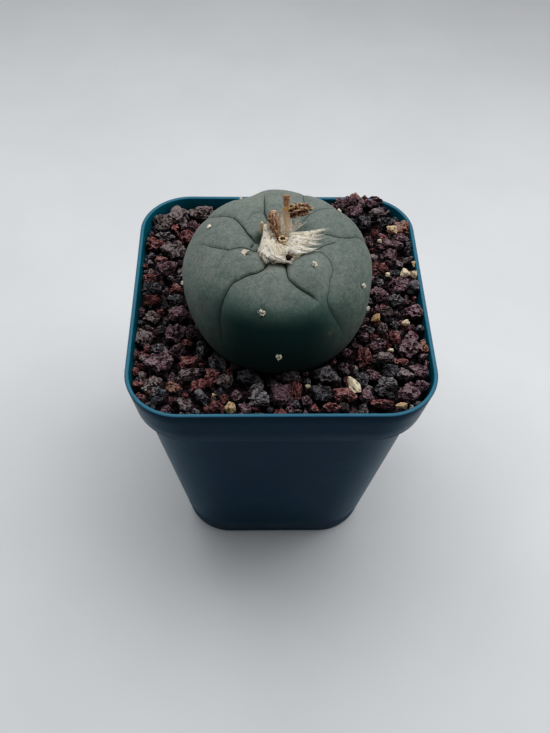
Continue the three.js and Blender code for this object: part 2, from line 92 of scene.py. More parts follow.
# Cactus: a flattened ball with a dished crown, on a tapering root
PLANT_PLACE = (-0.7, -2.0)
PLANT_RADIUS = 27.9
PLANT_MIDDLE = POT_HEIGHT + 8.2
CROWN_HEIGHT = 19.2
CROWN_SQUARENESS = 3.0
SKIRT_DEPTH = 27.0
SKIRT_SQUARENESS = 2.1
CROWN_DISH = 3.5
CROWN_DISH_RADIUS = 7.0
SKIRT_END = 118.0
# Angles down from the top, and how closely the rows of the skin lie there
ROW_EFFORT = ((0, 8, 12, 70, 85, SKIRT_END), (0.3, 0.4, 1.15, 1.0, 0.5, 0.4))
# The taproot: radius and height
ROOT = ((21.0, 82.0), (16.0, 72.0), (11.0, 60.0), (7.0, 48.0), (4.0, 38.0), (1.4, 34.0))

# Creases between the ribs: how strong, and where, in degrees round the plant and degrees down from its top
CREASES = (
    (1.0, ((251, 20), (249, 31), (249, 35), (244, 40), (237, 44), (232, 49), (229, 54), (230, 66), (232, 77),
           (234, 90), (233, 112))),
    (1.0, ((276, 20), (277, 31), (277, 37), (278, 42), (283, 47), (288, 51), (293, 55), (297, 60))),
    (0.5, ((324, 24), (327, 30), (331, 34), (330, 39), (327, 43), (320, 48), (312, 51), (306, 56), (302, 60),
           (302, 66), (305, 75), (311, 90), (316, 104))),
    (0.6, ((328, 29), (332, 31), (343, 34), (350, 38), (356, 43))),
    (0.8, ((10, 18), (11, 32), (8, 38), (5, 44), (6, 51), (12, 61), (16, 88), (15, 110))),
    (0.5, ((44, 18), (45, 28), (47, 37), (46, 45), (44, 54), (45, 80), (46, 108))),
    (0.6, ((62, 28), (60, 40), (64, 45), (69, 53), (74, 80), (75, 108))),
    (0.8, ((112, 14), (111, 24), (113, 26), (112, 32), (108, 37), (105.5, 42), (101, 51))),
    (0.35, ((113, 27), (116, 31), (125, 33), (135, 33), (142, 30))),
    (0.9, ((184, 13), (186, 19), (184, 21), (175, 24), (166, 28), (156, 33), (149, 39), (146, 44), (146, 51),
           (147, 60), (142, 80), (140, 108))),
    (0.6, ((223, 20), (217, 26), (210, 28), (205, 30), (201, 34), (199, 40), (195, 43), (190, 47), (184, 52),
           (178, 58))),
    (0.25, ((199, 40), (202, 42), (206, 47), (209, 50), (212, 54))),
    (0.8, ((161, 14), (181, 16), (193, 19), (195, 22.4), (203, 25.4), (210, 27.8))),
    (0.5, ((197, 15), (216, 19.5), (222, 23), (224, 26))),
)
# Width of a crease and of the valley round it, the angles down over which both fade, and the deeper valleys
# that part the ribs on the crown
CREASE_WIDTH = 0.5
VALLEY_WIDTH = 3.2
CREASE_FADE = (40.0, 108.0)
CROWN_VALLEY = 0.9
CROWN_VALLEY_FADE = (12.0, 38.0)
CROWN_VALLEY_WIDTH = 1.6
SKIN_RIPPLE = 0.12
SKIN_RIPPLE_WIDTH = 7.0
# The dark line in a crease: the distances from the plant's axis over which it thins, and its widths there
LINE_THINNING = (8.0, 17.0)
LINE_WIDTHS = (0.2, 0.13)
# Where the line is no longer drawn: distances from the crease, and the distance given to the root
LINE_END = (1.6, 2.6)
FAR_FROM_CREASE = 9.0
# The dent that each tuft sits in: depth and width
DENT = (0.35, 1.3)
# Areoles: place, and the size of the tuft in each
AREOLES = (
    (258, 61, 1.0), (269, 91, 1.0), (308, 37.5, 1.0), (332, 66.5, 0.8), (340, 93, 0.75), (39, 57.5, 0.65),
    (164, 51.6, 0.85), (188, 83, 0.65), (119, 57, 0.5), (88, 84, 0.9), (58, 88, 0.8), (24, 90, 0.9),
    (122, 92, 0.8), (152, 90, 0.9),
)
# The flake on a rib: place, and half length and half width
FLAKE = (214, 32)
FLAKE_SIZE = (1.3, 1.0)
# Swellings and hollows of the skin: place, rise and width
SWELLINGS = (
    (258, 61, 0.6, 8.5), (308, 38, 0.9, 6.0), (332, 62, 0.4, 8.5), (20, 80, 0.3, 8.5), (39, 52, 0.3, 8.5),
    (68, 57, 0.4, 8.5), (98, 52, 0.8, 8.5), (112, 60, -1.2, 3.6), (143, 65, 0.5, 6.0), (164, 48, 0.5, 8.5),
    (182, 82, 0.5, 8.5), (214, 33, 0.6, 8.5), (208, 97, -0.4, 8.5), (350, 88, -0.5, 8.5), (205, 21, 0.9, 1.4),
    (177, 17, -2.2, 1.5),
)
# Painted shadow in the hollows where creases meet under the wool's edge
NOTCH_SHADOWS = ((172, 15.5, 1.1), (180, 16, 1.35), (189, 17, 1.1))
# Corky marks: place and size
CORK_MARKS = ((90, 53, 1.1), (117, 56, 1.0), (300, 80, 0.9), (150, 74, 1.1), (92, 68, 1.5))

# Colour fields of the skin: where each sets in or fades, in millimetres from the middle and from the ground
BACK_BLOOM = (2.0, 22.0)
LOW_FLESH = (99.0, 113.0)
RIGHT_FLANK = (9.0, 22.0)
# The lower front is painted in the shaded colour: partly its own green, bloomless skin, partly painted shade
FRONT_MIDDLE = -2.0
FRONT_DEPTH = (-20.0, -7.0)
FRONT_WIDTH = (8.0, 25.0)
FRONT_HEIGHT = (113.5, 123.0)
# A pool of light painted on the front rib under the wool, lightening the shadow the wool casts there
LIT_RIB_START = (-18.0, -13.0)
LIT_RIB_END = (-9.0, -5.0)
LIT_RIB_WIDTH = (2.5, 7.5)

# Grit: its height under the rim, a heap in the back right corner and a rise to the right
GRIT_DEPTH = 4.8
HEAP = (26.0, 40.5, 7.2, 7.0)
RIGHT_RISE = (2.0, 22.0, 40.0)
# Painted shade darkens the grains from a height over the grit's level downwards
SHADED_FROM = 0.9
SHADED_OVER = 2.4
SHADED = 0.62
# Poured grains: spread of sizes, smallest and largest half width, how far they may rise over the grit's
# level, places tried for each grain, and how many may be refused before the pour ends
COARSE_POUR = (0.26, (2.0, 4.4), 3.1, 26, 170)
FINE_POUR = (0.25, (0.9, 2.0), 1.9, 44, 260)
# Half widths over which a grain is a coarse or a fine stone, and not a crumb
FINE_SIZE = 1.75
CRUMB_SIZE = 1.2
# How common each colour of grain is
COLOUR_SHARES = (
    ("red", 0.22), ("maroon", 0.32), ("brown", 0.17), ("charcoal", 0.24), ("grey", 0.03), ("tan", 0.02))
TINTS, TINT_SHARES = zip(*COLOUR_SHARES)
# The depth at which a pit is darkest, and the room between the grains and the wall or the plant
FULL_PIT = 0.22
WALL_GAP = 0.15
PLANT_GAP = 0.3
# Colours of the painted shade in pores and pits, as Blender takes them
LAVA_PORE_SHADE = (0.010, 0.007, 0.008)
PUMICE_PORE_SHADE = (0.09, 0.06, 0.035)
PUMICE_PIT_SHADE = (0.06, 0.04, 0.02)
# Grains and chips that show in the photograph: pixel, half sizes along, across and up, turn, colour, shade
LANDMARKS = (
    (160.8, 223.3, 3.6, 3.1, 2.9, 20, "brown", 0.35), (178.3, 215.8, 4.0, 3.7, 3.4, -25, "brown", 0.55),
    (202.5, 212.5, 3.8, 2.6, 2.5, 10, "brown", 0.4), (164.2, 236.7, 3.2, 1.4, 2.1, -5, "grey", 0.35),
    (154.2, 245, 2.8, 2.7, 2.5, 40, "red", 0.35), (175, 250, 3.7, 3.0, 2.8, 30, "brown", 0.4),
    (160, 260, 2.1, 1.4, 1.4, 0, "red", 0.5), (165, 270, 3.1, 2.6, 2.4, 30, "maroon", 0.4),
    (148.3, 278.3, 2.5, 1.7, 1.7, 10, "red", 0.5), (151.7, 290, 3.3, 2.0, 2.2, -10, "charcoal", 0.4),
    (150, 300.8, 3.1, 1.5, 2.1, 5, "red", 0.3), (178.3, 313.3, 3.3, 2.7, 2.5, 20, "maroon", 0.75),
    (144.2, 338.3, 2.4, 2.8, 2.3, 0, "brown", 0.6), (173, 334, 3.5, 2.9, 2.7, 40, "maroon", 0.45),
    (159.2, 349.2, 2.7, 1.6, 1.8, 0, "charcoal", 0.55), (160.8, 361.5, 4.1, 2.7, 2.7, 35, "maroon", 0.8),
    (186.7, 362.5, 2.8, 2.1, 1.9, 15, "red", 0.5), (187.3, 375.6, 3.2, 1.6, 2.1, 20, "brown", 0.6),
    (211, 375.6, 2.2, 2.7, 2.0, 0, "red", 0.75), (198.8, 385.9, 2.3, 1.6, 1.5, 25, "red", 0.95),
    (172.2, 387, 2.6, 1.6, 1.7, -10, "tan", 0.6), (200.9, 395.5, 3.0, 1.2, 2.0, -48, "charcoal", 0.85),
    (225.5, 380.8, 2.2, 2.3, 2.0, 0, "brown", 0.45), (235.8, 395, 1.5, 1.7, 1.4, 0, "maroon", 0.8),
    (248, 376.7, 3.7, 2.5, 2.4, 0, "charcoal", 0.25), (185.5, 404.4, 2.1, 1.7, 1.6, 0, "brown", 0.6),
    (136.3, 384.9, 2.0, 1.2, 1.3, 0, "red", 0.35), (139.4, 398.2, 1.5, 1.4, 1.3, 0, "red", 0.4),
    (156.8, 394, 2.3, 2.5, 2.1, 0, "charcoal", 0.5), (259, 399, 2.9, 2.3, 2.1, -20, "grey", 0.8),
    (256, 388, 2.0, 1.6, 1.4, 30, "grey", 0.55), (280, 394, 3.5, 3.7, 3.3, 0, "maroon", 0.4),
    (296, 391, 1.8, 3.4, 2.2, 0, "red", 0.45), (306, 400, 1.7, 1.4, 1.3, -20, "maroon", 0.7),
    (325, 375, 3.7, 2.7, 2.5, 5, "charcoal", 0.75), (323, 393, 3.1, 2.3, 2.2, 0, "charcoal", 0.45),
    (340, 394, 2.7, 1.9, 1.8, 25, "red", 0.75), (350.5, 396, 1.8, 1.4, 1.3, -30, "red", 0.7),
    (361, 379, 2.3, 2.4, 2.2, 0, "charcoal", 0.55), (364, 358, 2.2, 3.0, 2.1, 0, "red", 0.55),
    (371, 375, 2.8, 1.4, 1.8, -15, "maroon", 0.8), (383, 358, 3.6, 1.6, 2.4, 5, "brown", 0.55),
    (402, 362, 1.9, 1.1, 1.2, 0, "red", 0.6), (407, 348, 3.5, 2.8, 2.5, 20, "maroon", 0.65),
    (423, 347, 1.6, 1.9, 1.5, 0, "tan", 0.6), (420, 371, 2.8, 1.7, 1.8, 0, "maroon", 0.6),
    (404, 374, 2.5, 1.6, 1.6, -20, "brown", 0.85), (409, 393, 2.7, 2.6, 2.4, -30, "maroon", 0.7),
    (421, 385, 2.3, 1.7, 1.6, -10, "maroon", 0.4), (387, 384, 2.8, 1.6, 1.8, 0, "grey", 0.75),
    (390, 370, 2.5, 2.1, 1.9, 0, "charcoal", 0.3), (366, 395, 2.1, 2.2, 2.0, 0, "maroon", 0.5),
    (383, 404, 3.0, 1.2, 2.0, -5, "red", 0.5), (330, 407, 2.6, 1.2, 1.7, 0, "red", 0.7),
    (314, 408, 1.2, 1.2, 1.1, 0, "red", 0.6), (246, 408, 1.8, 1.4, 1.3, 0, "maroon", 0.9),
    (363, 338, 1.4, 1.5, 1.4, 60, "maroon", 0.6), (375.1, 199.8, 2.5, 2.8, 2.4, 0, "maroon", 0.55),
    (339, 202.5, 1.8, 2.4, 1.7, 0, "maroon", 0.45), (349.3, 201.8, 2.2, 1.3, 1.4, 0, "maroon", 0.3),
    (352.3, 211.4, 2.9, 1.8, 1.9, 10, "maroon", 0.5), (375.9, 212.9, 2.8, 1.6, 1.9, 20, "brown", 0.5),
    (406.8, 228.3, 3.1, 3.3, 2.8, 0, "tan", 0.6), (384, 222, 2.8, 1.4, 1.9, -10, "charcoal", 0.45),
    (400, 238.7, 2.8, 1.6, 1.9, 0, "maroon", 0.45), (365.5, 221, 2.1, 1.8, 1.7, 0, "charcoal", 0.4),
    (388.4, 246.5, 4.0, 2.0, 2.7, -5, "maroon", 0.55), (388.4, 257.5, 2.4, 2.3, 2.1, 70, "maroon", 0.35),
    (410.5, 247.5, 2.3, 2.7, 2.1, 0, "charcoal", 0.35), (379.6, 269.6, 2.6, 1.9, 1.8, 0, "red", 0.35),
    (397.2, 284.9, 3.4, 2.6, 2.4, 30, "maroon", 0.5), (413.5, 287, 2.7, 2.4, 2.2, 40, "charcoal", 0.55),
    (379.6, 294.7, 2.7, 2.4, 2.2, -40, "maroon", 0.6), (394.3, 299.5, 2.3, 2.0, 1.9, 0, "charcoal", 0.7),
    (414, 312.4, 3.8, 2.3, 2.5, 10, "maroon", 0.65),
)
# How much wider a grain is modelled than its lit face
GROWN = 1.22
# Pale chips: pixel, half sizes along, across and up, turn, shade
CHIPS = (
    (392.8, 229.5, 2.4, 1.7, 1.6, -30, 0.35), (380.3, 241.6, 1.2, 0.9, 0.8, 10, 0.7),
    (415.4, 264.5, 1.4, 1.2, 1.1, 0, 0.3), (415.6, 274, 1.8, 1.3, 1.1, -30, 0.45),
    (404.6, 273.3, 2.2, 2.2, 2.0, 5, 0.95), (387.7, 274.4, 1.0, 0.8, 0.8, 60, 0.75),
    (376.6, 318.3, 1.8, 1.3, 1.2, 35, 0), (406.6, 322.7, 1.4, 1.1, 1.1, 10, 0.75),
    (352.3, 385.5, 3.1, 2.0, 1.7, -52, 1), (308, 386.8, 0.9, 0.7, 0.6, 0, 0.7),
    (229.6, 407.4, 1.8, 1.5, 1.4, 30, 0.1), (213.2, 395, 0.7, 0.7, 0.7, 20, 0.3),
    (391, 350, 1.1, 0.6, 0.6, 0, 0.75), (402, 406, 1.8, 1.0, 1.0, 0, 0.05),
)
# The grain that lies in the wool
LOOSE_GRAIN = (1.5, -11.9, 28.2)

# Wool: its outline round a middle, and the bundles of hair that lie on it (mm, height from the rim)
WOOL_MIDDLE = (-0.8, -5.8)
WOOL_REACH = (
    (-163, 6.3), (-120, 6.8), (-90, 6.3), (-68, 6.7), (-47, 6.4), (-32, 6.8), (-6, 6.6), (33, 6.4), (60, 6.0),
    (90, 6.4), (123, 7.2), (150, 5.7), (180, 4.7),
)
WOOL_THICKNESS = 2.9
BUNDLES = (
    # path, hairs, spread at the root, spread at the tip, shade from 0 (white) to 1 (flecked)
    (((-4.7, 0.5, 28.2), (-4.9, -1.9, 27.7), (-5.3, -5.3, 27.4), (-6.6, -7.8, 27.2)), 130, 0.35, 0.35, 0.3),
    (((-3.9, -1.0, 27.6), (-4.5, -3.9, 27.7), (-5.2, -7.9, 28.1), (-6.3, -10.0, 27.6)), 130, 0.7, 0.7, 0.35),
    (((-3.3, -5.3, 28.0), (-4.2, -8.5, 28.5), (-4.9, -11.3, 28.2), (-4.5, -12.5, 27.3)), 140, 0.8, 0.5, 0.3),
    (((-4.7, -9.8, 28.8), (-3.7, -12.3, 28.8), (-1.2, -12.7, 28.2), (2.4, -12.9, 27.4)), 46, 0.55, 0.35, 0.0),
    (((-5.6, -9.4, 28.2), (-4.4, -11.8, 28.4), (-2.4, -12.5, 28.0), (0.6, -12.6, 27.4)), 60, 0.45, 0.35, 0.0),
    (((-3.6, -9.2, 28.8), (-2.6, -11.6, 28.9), (-0.7, -12.1, 28.4), (2.0, -12.6, 27.6)), 40, 0.55, 0.4, 0.1),
    (((-2.8, -7.6, 28.5), (-2.1, -11.0, 28.7), (-0.9, -11.9, 28.3), (0.2, -12.3, 27.9)), 80, 0.8, 0.5, 0.4),
    (((2.1, -2.1, 27.2), (4.9, -2.2, 27.9), (7.9, -2.2, 28.3), (12.3, -0.3, 27.9)), 80, 0.5, 0.35, 0.2),
    (((2.3, -3.1, 27.6), (5.1, -3.3, 28.2), (8.2, -3.3, 28.2), (11.3, -1.9, 27.7)), 70, 0.6, 0.6, 0.35),
    (((2.3, -4.2, 27.8), (5.3, -4.6, 28.6), (8.4, -4.6, 28.1), (10.9, -3.3, 27.4)), 75, 0.8, 0.7, 0.2),
    (((2.2, -5.7, 28.0), (5.2, -6.4, 28.6), (7.5, -6.4, 28.0), (9.7, -5.4, 27.3)), 85, 0.8, 0.7, 0.1),
    (((2.2, -7.8, 28.3), (4.6, -8.5, 28.3), (6.8, -8.4, 27.9), (9.1, -7.6, 27.2)), 110, 0.7, 0.35, 0.1),
    (((2.1, -9.0, 28.5), (3.4, -9.8, 28.3), (5.1, -9.5, 27.8), (7.9, -8.3, 27.2)), 120, 0.5, 0.25, 0.0),
    (((1.9, 0.8, 26.8), (3.0, 0.8, 27.9), (4.1, 1.3, 28.8), (5.2, 2.0, 29.7)), 60, 0.5, 0.7, 0.2),
    (((2.4, -0.2, 26.6), (3.8, 0.2, 27.6), (5.0, 0.8, 28.3), (6.3, 1.4, 28.8)), 34, 0.5, 0.6, 0.3),
    (((0.4, -1.6, 27.0), (0.3, -0.6, 28.6), (0.2, 0.4, 30.2), (0.2, 1.2, 31.2)), 60, 0.45, 0.3, 0.3),
    (((1.9, -1.4, 27.0), (2.1, -0.4, 28.4), (2.2, 0.4, 29.6), (2.2, 1.0, 30.4)), 50, 0.4, 0.3, 0.2),
    (((-0.6, -2.0, 27.4), (-0.5, -1.0, 29.0), (-0.5, 0.0, 30.6), (-0.4, 0.8, 31.8)), 60, 0.35, 0.3, 0.4),
    (((-3.9, -0.6, 27.8), (-4.0, 0.2, 29.4), (-3.7, 0.8, 31.0), (-3.3, 1.2, 32.4)), 60, 0.35, 0.25, 0.3),
)
FUZZ_COUNT = 2600
FUZZ_SHADE = 0.31
# Width of a hair from its root to its tip, as a share
HAIR_PROFILE = (0.9, 1.0, 1.0, 0.9, 0.75, 0.55, 0.35, 0.15)
# Lumps and hollows of the wool: place, rise and width. The hollows are also painted darker and the lumps
# paler, as painted shade and light
WOOL_LUMPS = (
    (-3.5, -2.9, -1.6, 1.7), (-1.6, -5.4, -0.8, 1.0), (4.0, -5.6, 1.2, 2.3), (-3.8, -9.2, 0.7, 1.8),
    (1.6, -11.3, -2.0, 1.2), (-0.1, -4.9, -1.0, 0.9), (-6.3, -6.0, 0.4, 1.1), (0.9, -7.4, -0.6, 0.8),
    (6.8, -4.4, -0.4, 0.9),
)

# Dried flowers: section middles and half sizes across and through, height from the rim
STRAP = (
    (1.1, -1.6, 26.0, 0.8, 0.4), (1.15, -0.9, 27.3, 0.88, 0.42), (1.15, -0.3, 28.3, 0.92, 0.42),
    (1.05, 0.6, 29.6, 1.0, 0.42), (0.88, 1.6, 31.7, 1.02, 0.42), (0.9, 2.1, 32.8, 0.95, 0.45),
    (1.0, 2.4, 33.4, 0.88, 0.5), (1.0, 2.6, 33.9, 0.78, 0.42), (1.0, 2.8, 34.6, 0.8, 0.32),
    (0.98, 3.2, 35.7, 0.9, 0.32), (0.95, 3.6, 36.7, 0.98, 0.34),
)
STUB = (
    (-0.9, -4.2, 26.4, 0.5, 0.45), (-1.2, -3.6, 27.9, 0.55, 0.5), (-1.45, -3.0, 28.6, 0.8, 0.7),
    (-1.8, -2.3, 29.4, 1.1, 0.9), (-2.2, -1.2, 30.6, 1.4, 1.1), (-2.5, -0.3, 31.8, 1.55, 1.2),
    (-2.5, 0.3, 32.7, 1.4, 1.1), (-2.45, 0.6, 33.3, 1.05, 0.85), (-2.45, 0.75, 33.7, 0.5, 0.4),
)
SCALE = (
    (-5.55, 0.6, 25.6, 0.35, 0.4), (-5.7, 0.6, 26.9, 0.52, 0.6), (-5.75, 0.65, 28.2, 0.58, 0.6),
    (-5.75, 0.65, 29.1, 0.46, 0.45), (-5.7, 0.65, 29.5, 0.2, 0.2),
)
CUP = (-0.1, -4.9, 27.4)
# The cup from outside to bore: radius, height and how ragged
CUP_PROFILE = (
    (0.35, 0.0, 0), (0.6, 0.3, 0.1), (0.95, 0.9, 0.4), (1.05, 1.4, 0.8), (1.15, 1.6, 1), (1.04, 1.72, 0.9),
    (0.8, 1.6, 0.4), (0.7, 1.3, 0.1), (0.6, 1.05, 0), (0.3, 0.95, 0),
)
# Half width of the cup's bore, and the colour of the shade painted in it and at the cup's foot
CUP_BORE = 0.84
CUP_BORE_SHADE = (0.035, 0.018, 0.012)
CUP_STALK = ((0.0, -4.7, 27.6, 0.5, 0.4), (0.15, -5.8, 28.2, 0.55, 0.4), (0.35, -7.2, 28.4, 0.35, 0.25))
PETALS = (
    # root, tip, half width, curl, twist
    ((1.3, 2.0, 32.7), (7.9, 4.1, 32.0), 1.25, 0.9, 0.2),
    ((1.3, 2.1, 32.3), (7.0, 3.4, 31.7), 1.35, -0.9, -0.5),
    ((1.4, 2.2, 32.0), (8.5, 4.2, 30.9), 1.0, 0.7, 0.9),
    ((1.4, 1.9, 31.8), (6.0, 2.9, 30.7), 1.2, 0.9, 1.5),
    ((1.6, 2.5, 32.4), (5.8, 3.9, 32.5), 0.9, 0.8, -1.1),
    ((2.8, 2.4, 31.7), (7.6, 3.9, 30.4), 0.8, -0.7, 2.2),
    ((1.6, 2.3, 31.4), (4.2, 2.9, 30.5), 1.0, 1.0, 2.8),
)
PETAL_THICKNESS = 0.14
# Where the petals end above and at the sides
PETAL_TOP = POT_HEIGHT + 35.2
PETAL_SIDES = (0.9, 9.0)
# The strap's amber joint, and the heights over which the stub's tip turns pale
JOINT_HEIGHT = POT_HEIGHT + 33.3
STUB_TIP = (POT_HEIGHT + 33.2, POT_HEIGHT + 34.0)

# Camera: its place (mm) and axes, the middle of the photograph and the focal length, in its pixels
CAMERA_PLACE = (-8.92, -169.06, 284.75)
CAMERA_RIGHT = (0.99956, -0.01907, 0.02255)
CAMERA_UP = (0.00167, 0.79878, 0.60162)
CAMERA_AHEAD = (0.02948, 0.60132, -0.79847)
PHOTO_MIDDLE = (275.0, 366.5)
FOCAL_PIXELS = 817.65
SENSOR_WIDTH = 36.0
# Soft lights: where each hangs and what it faces (mm), its width and depth
MAIN_LIGHT = ((60.0, 95.0, 460.0), (0.0, -110.0, 0.0), 700.0, 330.0)
LEFT_LIGHT = ((-420.0, 0.0, 160.0), (0.0, 0.0, 80.0), 500.0, 280.0)
RIGHT_LIGHT = ((420.0, 0.0, 160.0), (0.0, 0.0, 80.0), 500.0, 280.0)
SURROUND_COLOUR = (0.92, 0.96, 1.0, 1.0)
# The picture's tone: light that falls, and light that shows
TONE_CURVE = ((0.01, 0.004), (0.03, 0.016), (0.06, 0.045), (0.11, 0.108))

FULL_TURN = 2 * math.pi


def linear(red, green, blue):
    """A colour as Blender takes it, from screen values of 0 to 255."""
    shares = np.array((red, green, blue)) / 255
    low = shares / 12.92
    high = ((shares + 0.055) / 1.055) ** 2.4
    return tuple(float(value) for value in np.where(shares <= 0.04045, low, high))


def colour(name, thing, *screen):
    return FloatVectorProperty(name=name, description="Colour of " + thing, subtype="COLOR", size=3, min=0.0,
                               max=1.0, default=linear(*screen))


def amount(name, about, default, unit="NONE", least=0.0):
    return FloatProperty(name=name, description=about, default=default, min=least, unit=unit, precision=5)


def length(name, about, default):
    return amount(name, about, default * MM, "LENGTH")


class PotSettings(bpy.types.PropertyGroup):
    plastic: colour("Plastic", "the moulded plastic", 0, 50, 71)
    plastic_worn: colour("Worn plastic", "plastic that has dulled", 2, 54, 73)
    # The rim colour is a painted highlight along the rim's edge
    rim: colour("Rim", "the rim, where the plastic is thin and polished", 70, 114, 138)
    # The inner wall's colour is painted brighter than the plastic, standing in for the light that falls on it
    inner: colour("Inside", "the inner wall, lit through the plastic", 6, 100, 114)
    # The dust colour also paints the reflection of the floor on the foot, and the paler line along the
    # collar's lower edge
    dust: colour("Dust", "the dust on the pot", 128, 130, 136)
    side_bow: length("Side bow", "How far the middle of each side bows in", 0.05)


class PlantSettings(bpy.types.PropertyGroup):
    bloom: colour("Bloom", "the waxy bloom on the crown", 102, 112, 107)
    flesh: colour("Flesh", "the greener skin below the crown", 52, 72, 61)
    # Shaded flesh is partly the front's own green and partly painted shade
    shaded: colour("Shaded flesh", "the smooth green front, which has no bloom", 25, 61, 57)
    # Besides the old bloom, this colour paints the pool of light on the front rib
    old_bloom_and_painted_light: colour("Old bloom", "the thick bloom at the back", 131, 136, 130)
    # The crease colour is painted shade along the creases
    crease: colour("Crease", "the bottom of a crease", 30, 42, 37)
    cork: colour("Cork", "corky marks", 132, 112, 84)
    crease_depth: length("Crease depth", "Depth of the narrow crease between two ribs", 0.35)
    valley_depth: length("Valley depth", "Depth of the broad valley round a crease", 1.3)


class GritSettings(bpy.types.PropertyGroup):
    red: colour("Red lava", "the red grains", 151, 97, 94)
    maroon: colour("Maroon lava", "the maroon grains", 131, 106, 114)
    brown: colour("Brown lava", "the brown grains", 139, 127, 127)
    charcoal: colour("Charcoal lava", "the dark grains", 96, 101, 107)
    grey: colour("Grey lava", "the ash grey grains", 150, 149, 152)
    tan: colour("Tan lava", "the tan grains", 178, 134, 116)
    # Painted highlight on the walls between the pores
    crest_highlight: colour("Crests", "the worn crests between the pores", 192, 177, 178)
    pumice: colour("Pumice", "the pale chips", 240, 226, 196)
    pumice_tan: colour("Tan pumice", "the tan chips", 196, 164, 126)
    # The fines are coloured near black so the gaps between grains read as shade: partly their own dark
    # colour, partly painted shade
    fines_and_gap_shade: colour("Fines", "the fine grit below", 31, 27, 30)
    grain_size: length("Grain size", "Usual width of a grain", 6.4)
    seed: IntProperty(
        name="Seed", description="Start of the random order of the grains", default=20417, min=0)


class WoolSettings(bpy.types.PropertyGroup):
    cream: colour("Wool", "the crown's wool", 243, 228, 190)
    white: colour("Hair", "the silky hairs", 253, 248, 238)
    fleck: colour("Flecks", "the flecks in the wool", 104, 80, 62)
    tuft: colour("Tufts", "the small tufts on the ribs", 246, 240, 228)
    hair_width: length("Hair width", "Width of one strand of wool", 0.12)


class DriedSettings(bpy.types.PropertyGroup):
    brown: colour("Brown", "the dried petals", 196, 158, 132)
    dark: colour("Dark brown", "the folds of the dried petals", 112, 80, 66)
    rust: colour("Rust", "the strap's upper part", 192, 146, 116)
    amber: colour("Amber", "the strap's joint", 214, 158, 96)
    tan: colour("Tan", "the papery scales", 236, 216, 176)
    flake: colour("Flake", "the pale flake on a rib", 214, 198, 188)


class StageSettings(bpy.types.PropertyGroup):
    floor: colour("Floor", "the floor", 236, 238, 240)
    main_power: amount("Main light", "Power of the light above", 2.18, "POWER")
    left_power: amount("Left light", "Power of the left light", 0.33, "POWER")
    right_power: amount("Right light", "Power of the right light", 0.37, "POWER")
    surround: amount("Surround", "Brightness of the room around", 0.14)
    lens: amount("Lens", "Focal length of the camera", 40.16, "CAMERA", 1.0)


# Scene bookkeeping

def clear_selection():
    """Leaves edit mode and selects nothing."""
    if bpy.context.object and bpy.context.object.mode != "OBJECT":
        bpy.ops.object.mode_set(mode="OBJECT")
    bpy.ops.object.select_all(action="DESELECT")


def make_active(piece):
    clear_selection()
    piece.select_set(True)
    bpy.context.view_layer.objects.active = piece


def named(piece, name):
    piece.name = name
    piece.data.name = name
    return piece


def apply_modifier(piece, kind, **settings):
    """Adds a modifier to a piece, sets it and applies it."""
    make_active(piece)
    modifier = piece.modifiers.new(kind.title(), kind)
    for setting, value in settings.items():
        setattr(modifier, setting, value)
    bpy.ops.object.modifier_apply(modifier=modifier.name)


def points_of(piece):
    """A piece's vertices in millimetres."""
    flat = np.empty(3 * len(piece.data.vertices))
    piece.data.vertices.foreach_get("co", flat)
    return flat.reshape(-1, 3) / MM


def move_points(piece, points):
    piece.data.vertices.foreach_set("co", np.asarray(points, dtype=float).ravel() * MM)
    piece.data.update()


def triangles_of(piece):
    piece.data.calc_loop_triangles()
    corners = np.empty(3 * len(piece.data.loop_triangles), dtype=np.int64)
    piece.data.loop_triangles.foreach_get("vertices", corners)
    return corners.reshape(-1, 3)


def piece_from(name, points, faces):
    """An object from points in millimetres and faces of equal length."""
    mesh = bpy.data.meshes.new(name)
    mesh.from_pydata((np.asarray(points) * MM).tolist(), [], np.asarray(faces).tolist())
    mesh.update()
    piece = bpy.data.objects.new(name, mesh)
    bpy.context.scene.collection.objects.link(piece)
    return piece


def mark(piece, name, values):
    """Stores a number for each vertex, or one for them all, which a material reads by name."""
    attribute = piece.data.attributes.new(name, "FLOAT", "POINT")
    every = np.broadcast_to(np.asarray(values, dtype=np.float32), len(piece.data.vertices))
    attribute.data.foreach_set("value", np.ascontiguousarray(every))


def finish_piece(piece, material, slot, *nodes):
    piece.data.materials.clear()
    piece.data.materials.append(material)
    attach(piece, BODY)
    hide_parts(*nodes)


# Shaping

def loft(name, rings, smooth_angle=40.0):
    """A closed tube through rings of points: a circle extruded from ring to ring, with its ends filled."""
    clear_selection()
    bpy.ops.mesh.primitive_circle_add(vertices=len(rings[0]), radius=MM, enter_editmode=True)
    piece = named(bpy.context.object, name)
    shell = bmesh.from_edit_mesh(piece.data)
    place = shell.verts.layers.int.new("place")
    for index, vertex in enumerate(shell.verts):
        vertex[place] = index
    for row, ring in enumerate(rings):
        if row:
            bpy.ops.mesh.extrude_region_move()
        shell = bmesh.from_edit_mesh(piece.data)
        place = shell.verts.layers.int["place"]
        for vertex in shell.verts:
            if vertex.select:
                vertex.co = Vector(ring[vertex[place]]) * MM
        bmesh.update_edit_mesh(piece.data)
    bpy.ops.mesh.select_all(action="SELECT")
    bpy.ops.mesh.fill_holes(sides=0)
    bpy.ops.mesh.select_all(action="SELECT")
    bpy.ops.mesh.normals_make_consistent(inside=False)
    bpy.ops.object.mode_set(mode="OBJECT")
    piece.data.attributes.remove(piece.data.attributes["place"])
    bpy.ops.object.shade_smooth_by_angle(angle=math.radians(smooth_angle))
    return piece


